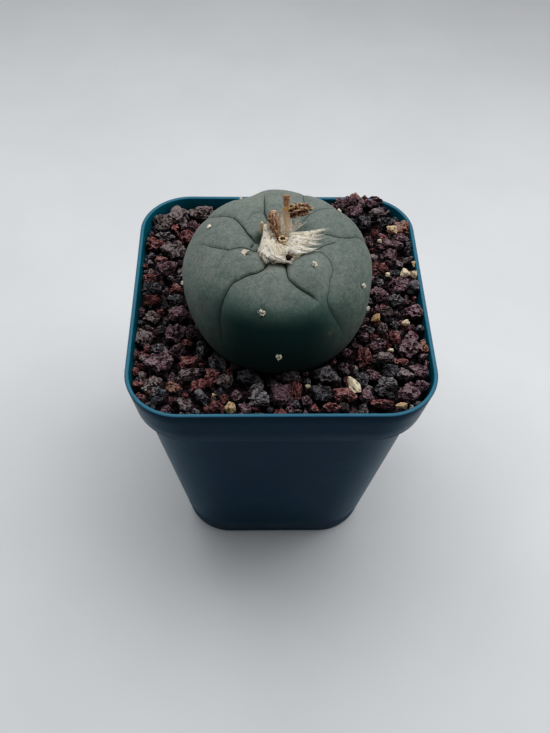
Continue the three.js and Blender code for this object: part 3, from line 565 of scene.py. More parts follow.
def square_ring(half, corner, height, bow=0.0):
    """A level square with round corners, whose sides may bow in."""
    straight = half - corner
    angles = np.radians(90 * np.arange(CORNER_STEPS) / CORNER_STEPS)
    shares = np.arange(SIDE_STEPS) / SIDE_STEPS
    x = np.concatenate((straight + corner * np.cos(angles), straight - 2 * straight * shares))
    y = np.concatenate((straight + corner * np.sin(angles), half - bow * np.sin(np.pi * shares)))
    quarters = [(x, y), (-y, x), (-x, -y), (y, -x)]
    plan = np.concatenate([np.column_stack(quarter) for quarter in quarters])
    return np.column_stack((plan, np.full(len(plan), height)))


def ring_angles(sides):
    return FULL_TURN * np.arange(sides) / sides


def round_points(middle, radius, angles, height):
    """Points at a radius and at angles round a middle on the plan, at a height."""
    x = middle[0] + radius * np.cos(angles)
    y = middle[1] + radius * np.sin(angles)
    return np.stack((x, y, np.broadcast_to(height, x.shape)), axis=-1)


def over_rim(points):
    """Points whose heights are given from the rim."""
    return np.array(points, dtype=float) + (0, 0, POT_HEIGHT)


def blend_sections(low, high, share):
    return tuple(a + (b - a) * share for a, b in zip(low, high))


def pot_inside(height, inset):
    """Half width and corner radius of the pot's inside at a height, moved in by a distance."""
    if height > COLLAR_BOTTOM:
        half, corner = blend_sections(COLLAR, RIM, (height - COLLAR_BOTTOM) / (POT_HEIGHT - COLLAR_BOTTOM))
    else:
        half, corner = blend_sections(BASE, BODY_TOP, height / LEDGE_BOTTOM)
    return half - WALL - inset, corner - WALL - inset


def curve_through(points, steps):
    """Points along a smooth curve that passes through the given ones."""
    points = np.asarray(points, dtype=float)
    padded = np.vstack((2 * points[0] - points[1], points, 2 * points[-1] - points[-2]))
    shares = np.linspace(0, len(points) - 1, steps)
    index = np.minimum(shares.astype(int), len(points) - 2)
    t = (shares - index)[:, None]
    before, start, end, after = (padded[index + offset] for offset in range(4))
    return 0.5 * (2 * start + (end - before) * t + (2 * before - 5 * start + 4 * end - after) * t ** 2
                  + (3 * start - before - 3 * end + after) * t ** 3)


def unit(vectors):
    """Vectors made 1 long."""
    return vectors / np.maximum(np.linalg.norm(vectors, axis=-1, keepdims=True), 1e-6)


def bell(distance, width):
    """A round hump of height 1 that fades out over a width."""
    return np.exp(-(distance / width) ** 2)


def smooth_step(values, low, high):
    share = np.clip((values - low) / (high - low), 0, 1)
    return share * share * (3 - 2 * share)


def rough(points, size, octaves=3):
    """Smooth random numbers about 0 at points, whose bumps are as wide as a size."""
    return np.array([noise.fractal(Vector(point), 0.9, 2.1, octaves) for point in np.asarray(points) / size])


# Plant form

def smooth_plant(around, down, lift=0.0):
    """Points of the plant without its ribs, at angles round it and down from its top, in radians."""
    upper = down < math.pi / 2
    height = np.where(upper, CROWN_HEIGHT, SKIRT_DEPTH)
    power = np.where(upper, CROWN_SQUARENESS, SKIRT_SQUARENESS)
    across_share = (np.sin(down) / PLANT_RADIUS) ** power
    up_share = (np.abs(np.cos(down)) / height) ** power
    distance = (across_share + up_share) ** (-1 / power) + lift
    radius = distance * np.sin(down)
    dish = np.where(upper, CROWN_DISH * bell(radius, CROWN_DISH_RADIUS), 0.0)
    return round_points(PLANT_PLACE, radius, around, PLANT_MIDDLE + distance * np.cos(down) - dish)


def on_plant(places):
    """Points of the smooth plant, from degrees round it and down from its top."""
    return smooth_plant(*np.radians(np.asarray(places, dtype=float)).T)


class Crease:
    """One crease: how far points are from it, on which side, and how strong it is there."""

    # Points along it, and the share of its length after which it fades
    STEPS = 500
    TAPER = 0.86

    def __init__(self, strength, places):
        self.points = on_plant(curve_through(places, self.STEPS))
        self.ahead = np.gradient(self.points, axis=0)
        self.strength = strength * (1 - smooth_step(np.linspace(0, 1, self.STEPS), self.TAPER, 1.0))
        self.tree = kdtree.KDTree(self.STEPS)
        for index, point in enumerate(self.points):
            self.tree.insert(point, index)
        self.tree.balance()

    def measure(self, points):
        """Signed distances to the crease, and its strength at the nearest place."""
        found = [self.tree.find(Vector(point)) for point in points]
        nearest = np.array([index for _, index, _ in found])
        distance = np.array([gap for _, _, gap in found])
        outward = points - np.array((*PLANT_PLACE, PLANT_MIDDLE - CROWN_HEIGHT))
        side = np.einsum("ij,ij->i", np.cross(self.ahead[nearest], outward), points - self.points[nearest])
        return np.where(side < 0, -distance, distance), self.strength[nearest]


CREASE_LINES = [Crease(strength, places) for strength, places in CREASES]


def swelling(points):
    total = np.zeros(len(points))
    for around, down, rise, width in SWELLINGS:
        gap = np.linalg.norm(points - on_plant([(around, down)])[0], axis=1)
        total += rise * bell(gap, width)
    return total


def skin(around, down, settings):
    """Points of the plant's skin, with their signed distance to a crease and how strong that crease is."""
    smooth = smooth_plant(around, down)
    degrees = np.degrees(down)
    fade = 1 - smooth_step(degrees, *CREASE_FADE)
    crown = 1 - smooth_step(degrees, *CROWN_VALLEY_FADE)
    sink = np.zeros(len(smooth))
    side = np.full(len(smooth), np.inf)
    visible = np.zeros(len(smooth))
    for crease in CREASE_LINES:
        apart, strength = crease.measure(smooth)
        gap = np.abs(apart)
        groove = (fade * settings.crease_depth / MM * bell(gap, CREASE_WIDTH)
                  + fade * settings.valley_depth / MM * np.exp(-gap / VALLEY_WIDTH)
                  + crown * CROWN_VALLEY * np.exp(-gap / CROWN_VALLEY_WIDTH))
        sink = np.maximum(sink, strength * groove)
        nearer = gap < np.abs(side)
        side = np.where(nearer, apart, side)
        visible = np.where(nearer, strength * fade, visible)
    ripple = SKIN_RIPPLE * rough(smooth, SKIN_RIPPLE_WIDTH, 2)
    return smooth_plant(around, down, swelling(smooth) - sink + ripple), side, visible


def on_skin(place, settings):
    """The point of the skin at degrees round the plant and down from its top."""
    return skin(*np.radians(np.array([place], dtype=float)).T, settings)[0][0]


def skin_frame(place, settings):
    """A place on the skin with the directions out of it, across it and up along it."""
    root = on_skin(place, settings)
    out = unit(root - smooth_plant(*np.radians(np.array([place], dtype=float)).T, -1.0)[0])
    across = unit(np.cross(out, (0.0, 0.0, 1.0)))
    return root, out, across, np.cross(across, out)


def crown_height(x, y):
    """The height of the smooth crown over places on the plan."""
    radius = np.hypot(x - PLANT_PLACE[0], y - PLANT_PLACE[1])
    top = CROWN_HEIGHT * (1 - (radius / PLANT_RADIUS) ** CROWN_SQUARENESS) ** (1 / CROWN_SQUARENESS)
    return PLANT_MIDDLE + top - CROWN_DISH * bell(radius, CROWN_DISH_RADIUS)


def waist(height):
    """The plant's radius at a height below its middle."""
    share = np.clip((PLANT_MIDDLE - height) / SKIRT_DEPTH, 0, 1)
    return PLANT_RADIUS * (1 - share ** SKIRT_SQUARENESS) ** (1 / SKIRT_SQUARENESS)


# Materials

class Nodes:
    """Adds shader nodes to a material or to a node group."""

    def __init__(self, tree):
        self.tree = tree

    def fill(self, node, inputs):
        """Links a node's inputs to sockets, or sets them to values."""
        for socket, value in inputs.items():
            if isinstance(value, bpy.types.NodeSocket):
                self.tree.links.new(value, node.inputs[socket])
            else:
                node.inputs[socket].default_value = value

    def add(self, kind, inputs=None, **settings):
        """Adds a node, sets it and fills its inputs. Returns its outputs."""
        node = self.tree.nodes.new("ShaderNode" + kind)
        for setting, value in settings.items():
            setattr(node, setting, value)
        self.fill(node, inputs or {})
        return node.outputs

    def calculate(self, operation, *values):
        return self.add("Math", dict(enumerate(values)), operation=operation)[0]

    def times(self, *values):
        """The product of several values."""
        return functools.reduce(lambda first, second: self.calculate("MULTIPLY", first, second), values)

    def larger(self, *values):
        """The largest of several values."""
        return functools.reduce(lambda first, second: self.calculate("MAXIMUM", first, second), values)

    def apart(self, value, middle):
        """How far a value is from a middle."""
        return self.calculate("ABSOLUTE", self.calculate("SUBTRACT", value, middle))

    def rise(self, value, low, high, start=0.0, end=1.0):
        """A value moved smoothly from the range low to high to the range start to end."""
        inputs = {"Value": value, "From Min": low, "From Max": high, "To Min": start, "To Max": end}
        return self.add("MapRange", inputs, interpolation_type="SMOOTHSTEP")["Result"]

    def fall(self, value, low, high, start=1.0):
        """A value that falls smoothly to 0 over a range."""
        return self.rise(value, low, high, start, 0.0)

    def noise(self, place, size, detail, roughness):
        scale = self.calculate("DIVIDE", 1.0, size)
        inputs = {"Vector": place, "Scale": scale, "Detail": detail, "Roughness": roughness}
        return self.add("TexNoise", inputs)[0]

    def cells(self, place, scale, feature="F1"):
        """The distance to the nearest point of a scatter, or to the edge between two."""
        return self.add("TexVoronoi", {"Vector": place, "Scale": scale}, feature=feature)["Distance"]


def new_group(name, inputs, output, output_kind):
    """A node group with an input for each name, and one output: (group, nodes, inputs, output)."""
    group = bpy.data.node_groups.new(name, "ShaderNodeTree")
    for label, kind, default in inputs:
        socket = group.interface.new_socket(label, in_out="INPUT", socket_type="NodeSocket" + kind)
        if default is not None:
            socket.default_value = default
    group.interface.new_socket(output, in_out="OUTPUT", socket_type="NodeSocket" + output_kind)
    given = group.nodes.new("NodeGroupInput").outputs
    return group, Nodes(group), given, group.nodes.new("NodeGroupOutput").inputs[0]


def mottle_group():
    """Patches: a mask of soft blotches of a given size."""
    if "Mottle" in bpy.data.node_groups:
        return bpy.data.node_groups["Mottle"]
    inputs = (("Place", "Vector", None), ("Size", "Float", 1.0), ("Low", "Float", 0.4),
              ("High", "Float", 0.6))
    group, nodes, given, result = new_group("Mottle", inputs, "Mask", "Float")
    pattern = nodes.noise(given["Place"], given["Size"], 3.0, 0.55)
    group.links.new(nodes.rise(pattern, given["Low"], given["High"]), result)
    return group


def relief_group():
    """Grain: a normal roughened by bumps of a given size and height."""
    if "Relief" in bpy.data.node_groups:
        return bpy.data.node_groups["Relief"]
    inputs = (("Place", "Vector", None), ("Size", "Float", 1.0), ("Height", "Float", 0.1),
              ("Normal", "Vector", None))
    group, nodes, given, result = new_group("Relief", inputs, "Normal", "Vector")
    pattern = nodes.noise(given["Place"], given["Size"], 4.0, 0.6)
    distance = nodes.times(given["Height"], MM)
    bump = nodes.add("Bump", {"Height": pattern, "Distance": distance, "Normal": given["Normal"]})
    group.links.new(bump[0], result)
    return group


class Look(Nodes):
    """A material whose colour is built up in layers, by the place on the piece in millimetres."""

    def __init__(self, name, base):
        self.material = bpy.data.materials.new(name)
        self.material.use_nodes = True
        super().__init__(self.material.node_tree)
        place = self.add("TexCoord")["Object"]
        self.place = self.add("VectorMath", {0: place, "Scale": 1 / MM}, operation="SCALE")[0]
        self.base = base

    def axes(self):
        """The place's X, Y and Z."""
        return self.add("SeparateXYZ", {0: self.place})

    def read(self, name):
        """A number that was marked on the piece's vertices."""
        return self.add("Attribute", attribute_name=name)["Fac"]

    def mix(self, factor, first, second):
        """A colour between two, by a factor."""
        ends = [end if isinstance(end, bpy.types.NodeSocket) else (*end, 1.0) for end in (first, second)]
        return self.add("Mix", {0: factor, 6: ends[0], 7: ends[1]}, data_type="RGBA")[2]

    def cover(self, mask, colour):
        """Lays a colour over what is there, where a mask is 1."""
        self.base = self.mix(mask, self.base, colour)

    def blotch(self, share, colour, size, low, high):
        """Lays a colour over what is there in soft patches of a size."""
        self.cover(self.times(self.mottle(size, low, high), share), colour)

    def stretched(self, along):
        """The place, with patterns drawn out upwards."""
        return self.add("Mapping", {"Vector": self.place, "Scale": (1.0, 1.0, along)})[0]

    def mottle(self, size, low=0.4, high=0.6, place=None):
        inputs = {"Place": place or self.place, "Size": size, "Low": low, "High": high}
        return self.group(mottle_group(), inputs)

    def relief(self, size, height, normal=None, place=None):
        normal = normal or self.add("NewGeometry")["Normal"]
        inputs = {"Place": place or self.place, "Size": size, "Height": height, "Normal": normal}
        return self.group(relief_group(), inputs)

    def group(self, group, inputs):
        return self.add("Group", inputs, node_tree=group)[0]

    def pores(self, size, low, high):
        """Round pores of a given size: 1 in the middle of each, 0 on the walls between."""
        return self.fall(self.cells(self.place, 1 / size), low, high)

    def bump(self, height, distance, normal):
        return self.add("Bump", {"Height": height, "Distance": distance * MM, "Normal": normal})[0]

    def finish(self, roughness, normal=None, **constants):
        """Fills the shader from the layers, and returns the material."""
        inputs = {"Base Color": self.base, "Roughness": roughness}
        if normal:
            inputs["Normal"] = normal
        for label, value in constants.items():
            inputs[label.replace("_", " ")] = value
        self.fill(self.tree.nodes["Principled BSDF"], inputs)
        return self.material


def pot_material(settings):
    look = Look("pot_plastic", settings.plastic)
    level = look.axes()["Z"]
    look.cover(look.mottle(22.0, 0.35, 0.7), settings.plastic_worn)
    # Painted light: the inner wall is coloured a brighter teal to stand in for the light on it
    look.cover(look.read("inside"), settings.inner)
    # Painted highlight along the rim
    look.cover(look.rise(level, *RIM_HIGHLIGHT_HEIGHTS, 0.0, RIM_HIGHLIGHT), settings.rim)
    # Band on the foot: dust, and partly a painted reflection of the pale floor
    foot_dust_and_reflection = look.times(look.rise(level, *FOOT_DUST_AND_REFLECTION_START), look.fall(level, *FOOT_DUST_AND_REFLECTION_END))
    foot = look.times(foot_dust_and_reflection, look.mottle(3.5, 0.2, 0.7))
    # A paler line along the collar's lower edge
    edge = look.fall(look.apart(level, COLLAR_BOTTOM + 0.6), 0.4, 0.9)
    edge = look.times(edge, look.mottle(3.0, 0.25, 0.5))
    upward = look.add("SeparateXYZ", {0: look.add("NewGeometry")["Normal"]})["Z"]
    shelf = look.times(look.rise(upward, 0.3, 0.9), look.mottle(0.8, 0.5, 0.75))
    scuffs = look.mottle(0.55, 0.66, 0.78, look.stretched(0.05))
    film = look.mottle(9.0, 0.35, 0.8)
    masks = (foot, film, shelf, scuffs, edge)
    dust_and_reflection = look.larger(*(look.times(mask, share) for mask, share in zip(masks, DUST_SHARES)))
    look.cover(dust_and_reflection, settings.dust)
    normal = look.relief(0.5, 0.012, look.relief(14.0, 0.12))
    return look.finish(look.rise(dust_and_reflection, 0.0, 0.35, 0.34, 0.8), normal, Specular_IOR_Level=0.08)


def skin_material(settings):
    look = Look("cactus_skin", settings.bloom)
    x, y, z = look.axes()
    behind = look.times(look.rise(y, *BACK_BLOOM, 0.0, 0.7), look.mottle(5.0, 0.2, 0.55))
    look.cover(behind, settings.old_bloom_and_painted_light)
    patches = look.times(look.mottle(7.0, 0.35, 0.75), 0.3)
    greener = look.larger(look.fall(z, *LOW_FLESH, 0.35), look.rise(x, *RIGHT_FLANK, 0.0, 0.4), patches)
    look.cover(greener, settings.flesh)
    beside = look.apart(x, FRONT_MIDDLE)
    # Painted shade on the lower front, together with the front's own green, bloomless skin
    front = look.times(look.fall(y, *FRONT_DEPTH), look.fall(beside, *FRONT_WIDTH),
                       look.fall(z, *FRONT_HEIGHT))
    powder = look.calculate("SUBTRACT", 1.0, look.times(front, 0.9))
    # Painted light: a paler patch on the front rib under the wool
    rib = look.times(look.rise(y, *LIT_RIB_START), look.fall(y, *LIT_RIB_END, 0.75), look.fall(beside, *LIT_RIB_WIDTH))
    look.cover(rib, settings.old_bloom_and_painted_light)
    look.cover(look.times(look.mottle(2.6, 0.4, 0.66), powder, 0.26), settings.old_bloom_and_painted_light)
    speckle = look.times(look.mottle(0.9, 0.46, 0.62), powder)
    look.cover(look.times(speckle, 0.36), settings.old_bloom_and_painted_light)
    look.cover(look.times(look.mottle(0.7, 0.5, 0.66), powder, 0.36), settings.flesh)
    look.cover(front, settings.shaded)
    strength = look.read("crease_strength")
    gap = look.calculate("ABSOLUTE", look.read("crease_side"))
    flat = look.add("VectorMath", {0: look.place, 1: (1.0, 1.0, 0.0)}, operation="MULTIPLY")[0]
    from_axis = look.add("VectorMath", {0: flat, 1: (*PLANT_PLACE, 0.0)}, operation="DISTANCE")["Value"]
    width = look.rise(from_axis, *LINE_THINNING, *LINE_WIDTHS)
    line = look.times(look.fall(look.calculate("DIVIDE", gap, width), 0.4, 1.4), strength, 0.85)
    # Painted shade: a dark line in each crease and a soft darkening either side
    look.cover(look.larger(line, look.times(look.fall(gap, 0.0, 1.6, 0.16), strength)), settings.crease)
    # Painted shadow under the wool's edge
    look.cover(look.read("notch_shadow"), settings.crease)
    look.cover(look.times(look.read("cork"), look.mottle(0.6)), settings.cork)
    groove = look.bump(look.times(line, -1.0), 0.25, look.relief(0.35, 0.03, look.relief(2.2, 0.12)))
    roughness = look.rise(speckle, 0.0, 1.0, 0.6, 0.75)
    return look.finish(roughness, groove, Specular_IOR_Level=0.1, Sheen_Weight=0.06)


def lava_material(name, main, settings):
    """Porous lava: tinted grain by grain, with painted shade in the pores and pits and painted highlights on
    the walls between.
    """
    look = Look(name, main)
    shade = look.read("shade")
    look.blotch(0.22, settings.red, 1.6, 0.45, 0.7)
    look.cover(look.fall(shade, 0.0, 1.0, 0.5), settings.fines_and_gap_shade)
    seams = look.fall(look.cells(look.place, 1.1, "DISTANCE_TO_EDGE"), 0.03, 0.14)
    web = look.times(seams, look.mottle(2.4, 0.42, 0.56))
    walls = look.larger(look.mottle(0.8, 0.5, 0.64), web)
    # Painted highlights on the pore walls
    look.cover(look.times(walls, look.rise(shade, 0.0, 1.0, 0.15, 0.5)), settings.crest_highlight)
    large = look.times(look.pores(1.05, 0.14, 0.36), look.mottle(2.2, 0.38, 0.52))
    pore = look.larger(large, look.times(look.pores(0.55, 0.14, 0.38), 0.7))
    # Painted shade in pores and pits
    look.cover(look.times(look.larger(look.read("pit"), pore), 0.9), LAVA_PORE_SHADE)
    return look.finish(0.95, look.bump(pore, -0.4, look.relief(0.5, 0.6)), Specular_IOR_Level=0.2)


def pumice_material(settings):
    look = Look("pumice", settings.pumice_tan)
    look.cover(look.read("shade"), settings.pumice)
    look.blotch(0.6, settings.pumice_tan, 1.0, 0.5, 0.75)
    # Painted shade in the pits and pores
    look.cover(look.times(look.read("pit"), 0.95), PUMICE_PIT_SHADE)
    holes = look.times(look.pores(0.6, 0.1, 0.34), look.mottle(1.3, 0.42, 0.56))
    look.cover(look.times(holes, 0.85), PUMICE_PORE_SHADE)
    return look.finish(0.95, look.bump(holes, -0.3, look.relief(0.4, 0.3)), Specular_IOR_Level=0.2)


# The fill's near-black colour is partly painted shade in the gaps between grains
def fines_material(settings):
    look = Look("grit_fines", settings.fines_and_gap_shade)
    look.blotch(0.4, settings.maroon, 0.9, 0.4, 0.65)
    return look.finish(1.0, look.relief(1.2, 1.2), Specular_IOR_Level=0.1)


def wool_material(settings):
    look = Look("wool_felt", settings.cream)
    look.cover(look.mottle(1.6, 0.4, 0.7), settings.white)
    # Dirt in patches, and painted shade in the wool's hollows
    dirt_and_hollow_shade = look.larger(look.read("hollow"), look.mottle(2.4, 0.5, 0.74))
    look.cover(look.times(dirt_and_hollow_shade, 0.22), settings.fleck)
    look.blotch(0.85, settings.fleck, 0.9, 0.56, 0.66)
    return look.finish(1.0, look.relief(0.4, 0.3), Specular_IOR_Level=0.15, Sheen_Weight=0.2)


def hair_material(name, pale, settings):
    """Fine hair: pale to flecked, strand by strand."""
    look = Look(name, pale)
    shade = look.read("shade")
    look.cover(look.rise(shade, 0.2, 0.6, 0.0, 0.85), settings.cream)
    look.cover(look.rise(shade, 0.6, 1.0, 0.0, 0.9), settings.fleck)
    look.blotch(0.75, settings.fleck, 0.9, 0.58, 0.66)
    return look.finish(0.75, Specular_IOR_Level=0.3, Sheen_Weight=0.2)


def dried_material(settings):
    """Dried petals: brown, darker in the folds, with pale edges."""
    look = Look("dried_brown", settings.dark)
    look.cover(look.mottle(0.7, 0.38, 0.62), settings.brown)
    look.blotch(0.5, settings.tan, 0.45, 0.54, 0.66)
    look.cover(look.times(look.read("edge"), 0.35), settings.tan)
    return look.finish(0.75, look.relief(0.3, 0.15), Specular_IOR_Level=0.3)


def strap_material(settings):
    """The flat upright flower: rusty above its amber joint, tan with brown streaks below."""
    look = Look("dried_strap", settings.tan)
    level = look.axes()["Z"]
    upright = look.stretched(0.22)
    streak = look.mottle(0.35, 0.42, 0.6, upright)
    look.cover(look.times(streak, 0.9), settings.brown)
    look.cover(0.3, settings.rust)
    above = look.mix(look.times(streak, 0.6), settings.rust, settings.dark)
    look.cover(look.rise(level, JOINT_HEIGHT + 0.2, JOINT_HEIGHT + 0.7), above)
    look.cover(look.fall(look.apart(level, JOINT_HEIGHT), 0.15, 0.6, 0.8), settings.amber)
    return look.finish(0.7, look.relief(0.3, 0.2, place=upright), Specular_IOR_Level=0.3)


def tan_material(name, main, second):
    """Papery scale: blotched, and darkened with painted shade where it is hollow."""
    look = Look(name, main)
    look.cover(look.mottle(0.6, 0.45, 0.65), second)
    look.cover(look.read("pit"), CUP_BORE_SHADE)
    return look.finish(0.8, look.relief(0.3, 0.15), Specular_IOR_Level=0.3)


def floor_material(settings):
    look = Look("stage_floor", settings.floor)
    look.cover(look.mottle(60.0, 0.3, 0.7), tuple(0.96 * value for value in settings.floor))
    return look.finish(0.6, look.relief(1.5, 0.02), Specular_IOR_Level=0.2)


# Grit

class StoneForm:
    """A broken stone about 1 in radius: flat breaks, a rough skin and round pits."""

    # Number of breaks, and how sharply they meet
    FLATS = 13
    SOFTNESS = 16.0

    def __init__(self, random, pits, pit_size, roughness):
        self.normals = unit(random.normal(size=(self.FLATS, 3)))
        self.offsets = random.uniform(0.62, 0.98, self.FLATS)
        self.centres = unit(random.normal(size=(pits, 3)))
        self.sizes = random.uniform(*pit_size, pits)
        self.shift = random.uniform(0, 50, 3)
        self.roughness = roughness

    def pit(self, directions):
        """How deep a pit is at directions, from 0 to 1."""
        depth = np.zeros(len(directions))
        for centre, size in zip(self.centres, self.sizes):
            gap = np.linalg.norm(directions - centre, axis=1) / size
            depth = np.maximum(depth, size * np.sqrt(np.clip(1 - gap ** 2, 0, None)))
        return depth

    def shape(self, directions):
        facing = np.maximum(directions @ self.normals.T, 0.05)
        reach = self.offsets / facing
        radius = -np.log(np.exp(-self.SOFTNESS * reach).sum(axis=1)) / self.SOFTNESS
        radius = np.minimum(radius, 1.3) + self.roughness * rough(directions + self.shift, 0.42, 3)
        return directions * (radius - 0.9 * self.pit(directions))[:, None]


def stone_masters(random, count, subdivisions, faces, pits, pit_size, roughness):
    """Stones to copy: ico spheres shaped and thinned. Gives the points, faces and pit depths of each."""
    masters = []
    for _ in range(count):
        form = StoneForm(random, pits, pit_size, roughness)
        clear_selection()
        bpy.ops.mesh.primitive_ico_sphere_add(subdivisions=subdivisions, radius=MM)
        piece = bpy.context.object
        move_points(piece, form.shape(unit(points_of(piece))))
        apply_modifier(piece, "DECIMATE", ratio=faces / len(piece.data.polygons))
        points = points_of(piece)
        triangles = triangles_of(piece)
        bpy.data.objects.remove(piece)
        depth = form.pit(unit(points))
        masters.append((points / np.abs(points).max(axis=0), triangles, np.clip(depth / FULL_PIT, 0, 1)))
    return masters


class GritBed:
    """The grit's top as a map of heights, onto which grains settle one by one."""

    # Width of a cell, half width of the map, and the height that closes a cell
    STEP = 0.45
    EDGE = 50.0
    BLOCKED = 1000.0
    # Share of a grain that takes up room, depth of the first layer, and how far grains press into the walls
    NEST = 0.82
    START = 3.4
    PRESSED = 0.9

    def __init__(self, random):
        self.random = random
        self.axis = np.arange(-self.EDGE, self.EDGE + self.STEP, self.STEP)
        x, y = np.meshgrid(self.axis, self.axis, indexing="ij")
        self.level = grit_level(x, y)
        self.top = self.level - self.START
        self.rest = self.top.copy()
        half, corner = pot_inside(POT_HEIGHT - GRIT_DEPTH, -self.PRESSED)
        straight = half - corner
        over = np.hypot(np.maximum(np.abs(x) - straight, 0), np.maximum(np.abs(y) - straight, 0))
        plant = np.hypot(x - PLANT_PLACE[0], y - PLANT_PLACE[1]) < waist(self.level) - self.PRESSED
        self.rest[(over > corner) | plant] = self.BLOCKED
        self.open_cells = np.argwhere(self.rest < self.BLOCKED)

    def dome(self, half_width, half_up):
        """The upper half of a grain over the cells it covers: (reach in cells, heights, mask)."""
        half_width, half_up = self.NEST * half_width, self.NEST * half_up
        reach = int(math.ceil(half_width / self.STEP))
        steps = np.arange(-reach, reach + 1) * self.STEP
        x, y = np.meshgrid(steps, steps, indexing="ij")
        inside = 1 - (x / half_width) ** 2 - (y / half_width) ** 2
        return reach, half_up * np.sqrt(np.clip(inside, 0, None)), inside > 0

    def window(self, cell, reach):
        row, column = cell
        return slice(row - reach, row + reach + 1), slice(column - reach, column + reach + 1)

    def lay(self, cell, height, dome, protect=0.0):
        """Adds a grain's dome to the map. A protected grain isn't covered by later ones."""
        reach, heights, mask = dome
        window = self.window(cell, reach)
        for layer in (self.top, self.rest):
            layer[window] = np.where(mask, np.maximum(layer[window], height + heights), layer[window])
        if protect:
            core = mask & (heights > (1 - protect) * heights.max())
            self.rest[window] = np.where(core, self.BLOCKED, self.rest[window])

    def reserve(self, place, half_width, half_up):
        """Keeps a place for a grain that shows in the photograph."""
        cell = tuple(int(round((value + self.EDGE) / self.STEP)) for value in place[:2])
        self.lay(cell, place[2], self.dome(half_width, half_up), protect=0.6)

    def settle(self, size, half_up, tries):
        """The lowest of several random places for a grain: (score, cell, height) and its dome."""
        dome = self.dome(size, half_up)
        reach, heights, mask = dome
        best = None
        for cell in self.random.choice(self.open_cells, tries):
            height = (self.rest[self.window(cell, reach)] + heights)[mask].max()
            score = height - self.level[tuple(cell)]
            if best is None or score < best[0]:
                best = (score, tuple(cell), height)
        return best, dome

    def pour(self, usual, spread, limits, rise, tries, refusals):
        """Settles grains of one range of sizes until no more fit: (size, half sizes, spot) for each."""
        settled = []
        refused = 0
        while refused < refusals:
            size = float(np.clip(self.random.lognormal(math.log(usual), spread), *limits))
            halves = size * self.random.uniform(0.7, 1.15, 3)
            (score, cell, height), dome = self.settle(size, halves[2], tries)
            if score + dome[1].max() > rise + self.random.normal(0, 0.35):
                refused += 1
                continue
            self.lay(cell, height, dome)
            settled.append((size, halves, (cell, height, dome)))
        return settled

    def seen(self, cell, height, dome):
        """Whether a grain still shows from above."""
        reach, heights, mask = dome
        bare = height + heights >= self.top[self.window(cell, reach)] - 0.5
        return (bare & mask).sum() > 0.08 * mask.sum()


def grit_level(x, y):
    """The height of the grit over places on the plan."""
    heap_x, heap_y, rise, spread = HEAP
    right_rise, start, end = RIGHT_RISE
    heap = rise * bell(np.hypot(x - heap_x, y - heap_y), spread)
    return POT_HEIGHT - GRIT_DEPTH + heap + right_rise * smooth_step(x, start, end)


def seen_on_grit(across, down, lift):
    """The place, a little over the grit, that shows at a pixel of the photograph."""
    camera = np.array(CAMERA_PLACE)
    sight = (np.array(CAMERA_AHEAD) + np.array(CAMERA_RIGHT) * (across - PHOTO_MIDDLE[0]) / FOCAL_PIXELS
             - np.array(CAMERA_UP) * (down - PHOTO_MIDDLE[1]) / FOCAL_PIXELS)
    height = POT_HEIGHT - GRIT_DEPTH
    for _ in range(40):
        place = camera + sight * (height - camera[2]) / sight[2]
        height = 0.5 * (height + grit_level(place[0], place[1]) + lift)
    return place


Grain = collections.namedtuple("Grain", "masters place halves turn tint shade spot", defaults=(None,))


def turned(points, angles):
    """Points turned about X, Y and Z in turn."""
    about_x, about_y, about_z = (Matrix.Rotation(angle, 3, axis) for angle, axis in zip(angles, "XYZ"))
    return points @ np.array(about_z @ about_y @ about_x).T


def keep_in_pot(points):
    """Moves points that reach into the wall or the plant back to its surface."""
    height = np.clip(points[:, 2], 0, POT_HEIGHT)
    share = np.clip((height - COLLAR_BOTTOM) / (POT_HEIGHT - COLLAR_BOTTOM), 0, 1)
    half, corner = (outside - WALL - WALL_GAP for outside in blend_sections(COLLAR, RIM, share))
    plan = points[:, :2]
    core = np.clip(plan, -(half - corner)[:, None], (half - corner)[:, None])
    out = plan - core
    distance = np.linalg.norm(out, axis=1)
    pull = np.where(distance > corner, corner / np.maximum(distance, 0.01), 1.0)
    plan = core + out * pull[:, None]
    out = plan - PLANT_PLACE
    distance = np.linalg.norm(out, axis=1)
    limit = waist(points[:, 2]) + PLANT_GAP
    near = (distance < limit) & (points[:, 2] < PLANT_MIDDLE)
    push = np.where(near, limit / np.maximum(distance, 0.01), 1.0)
    return np.column_stack((out * push[:, None] + PLANT_PLACE, points[:, 2]))


def gather(name, parts):
    """One piece from many copies of stones, with a shade for each and, for each vertex, a pit depth that also
    carries painted shade.
    """
    starts = np.cumsum([0] + [len(points) for points, *_ in parts])
    faces = [stone_faces + start for (_, stone_faces, *_), start in zip(parts, starts)]
    piece = piece_from(name, np.concatenate([points for points, *_ in parts]), np.concatenate(faces))
    mark(piece, "shade", np.concatenate([np.full(len(points), shade) for points, _, shade, _ in parts]))
    mark(piece, "pit", np.concatenate([pit for *_, pit in parts]))
    return piece


# Hair

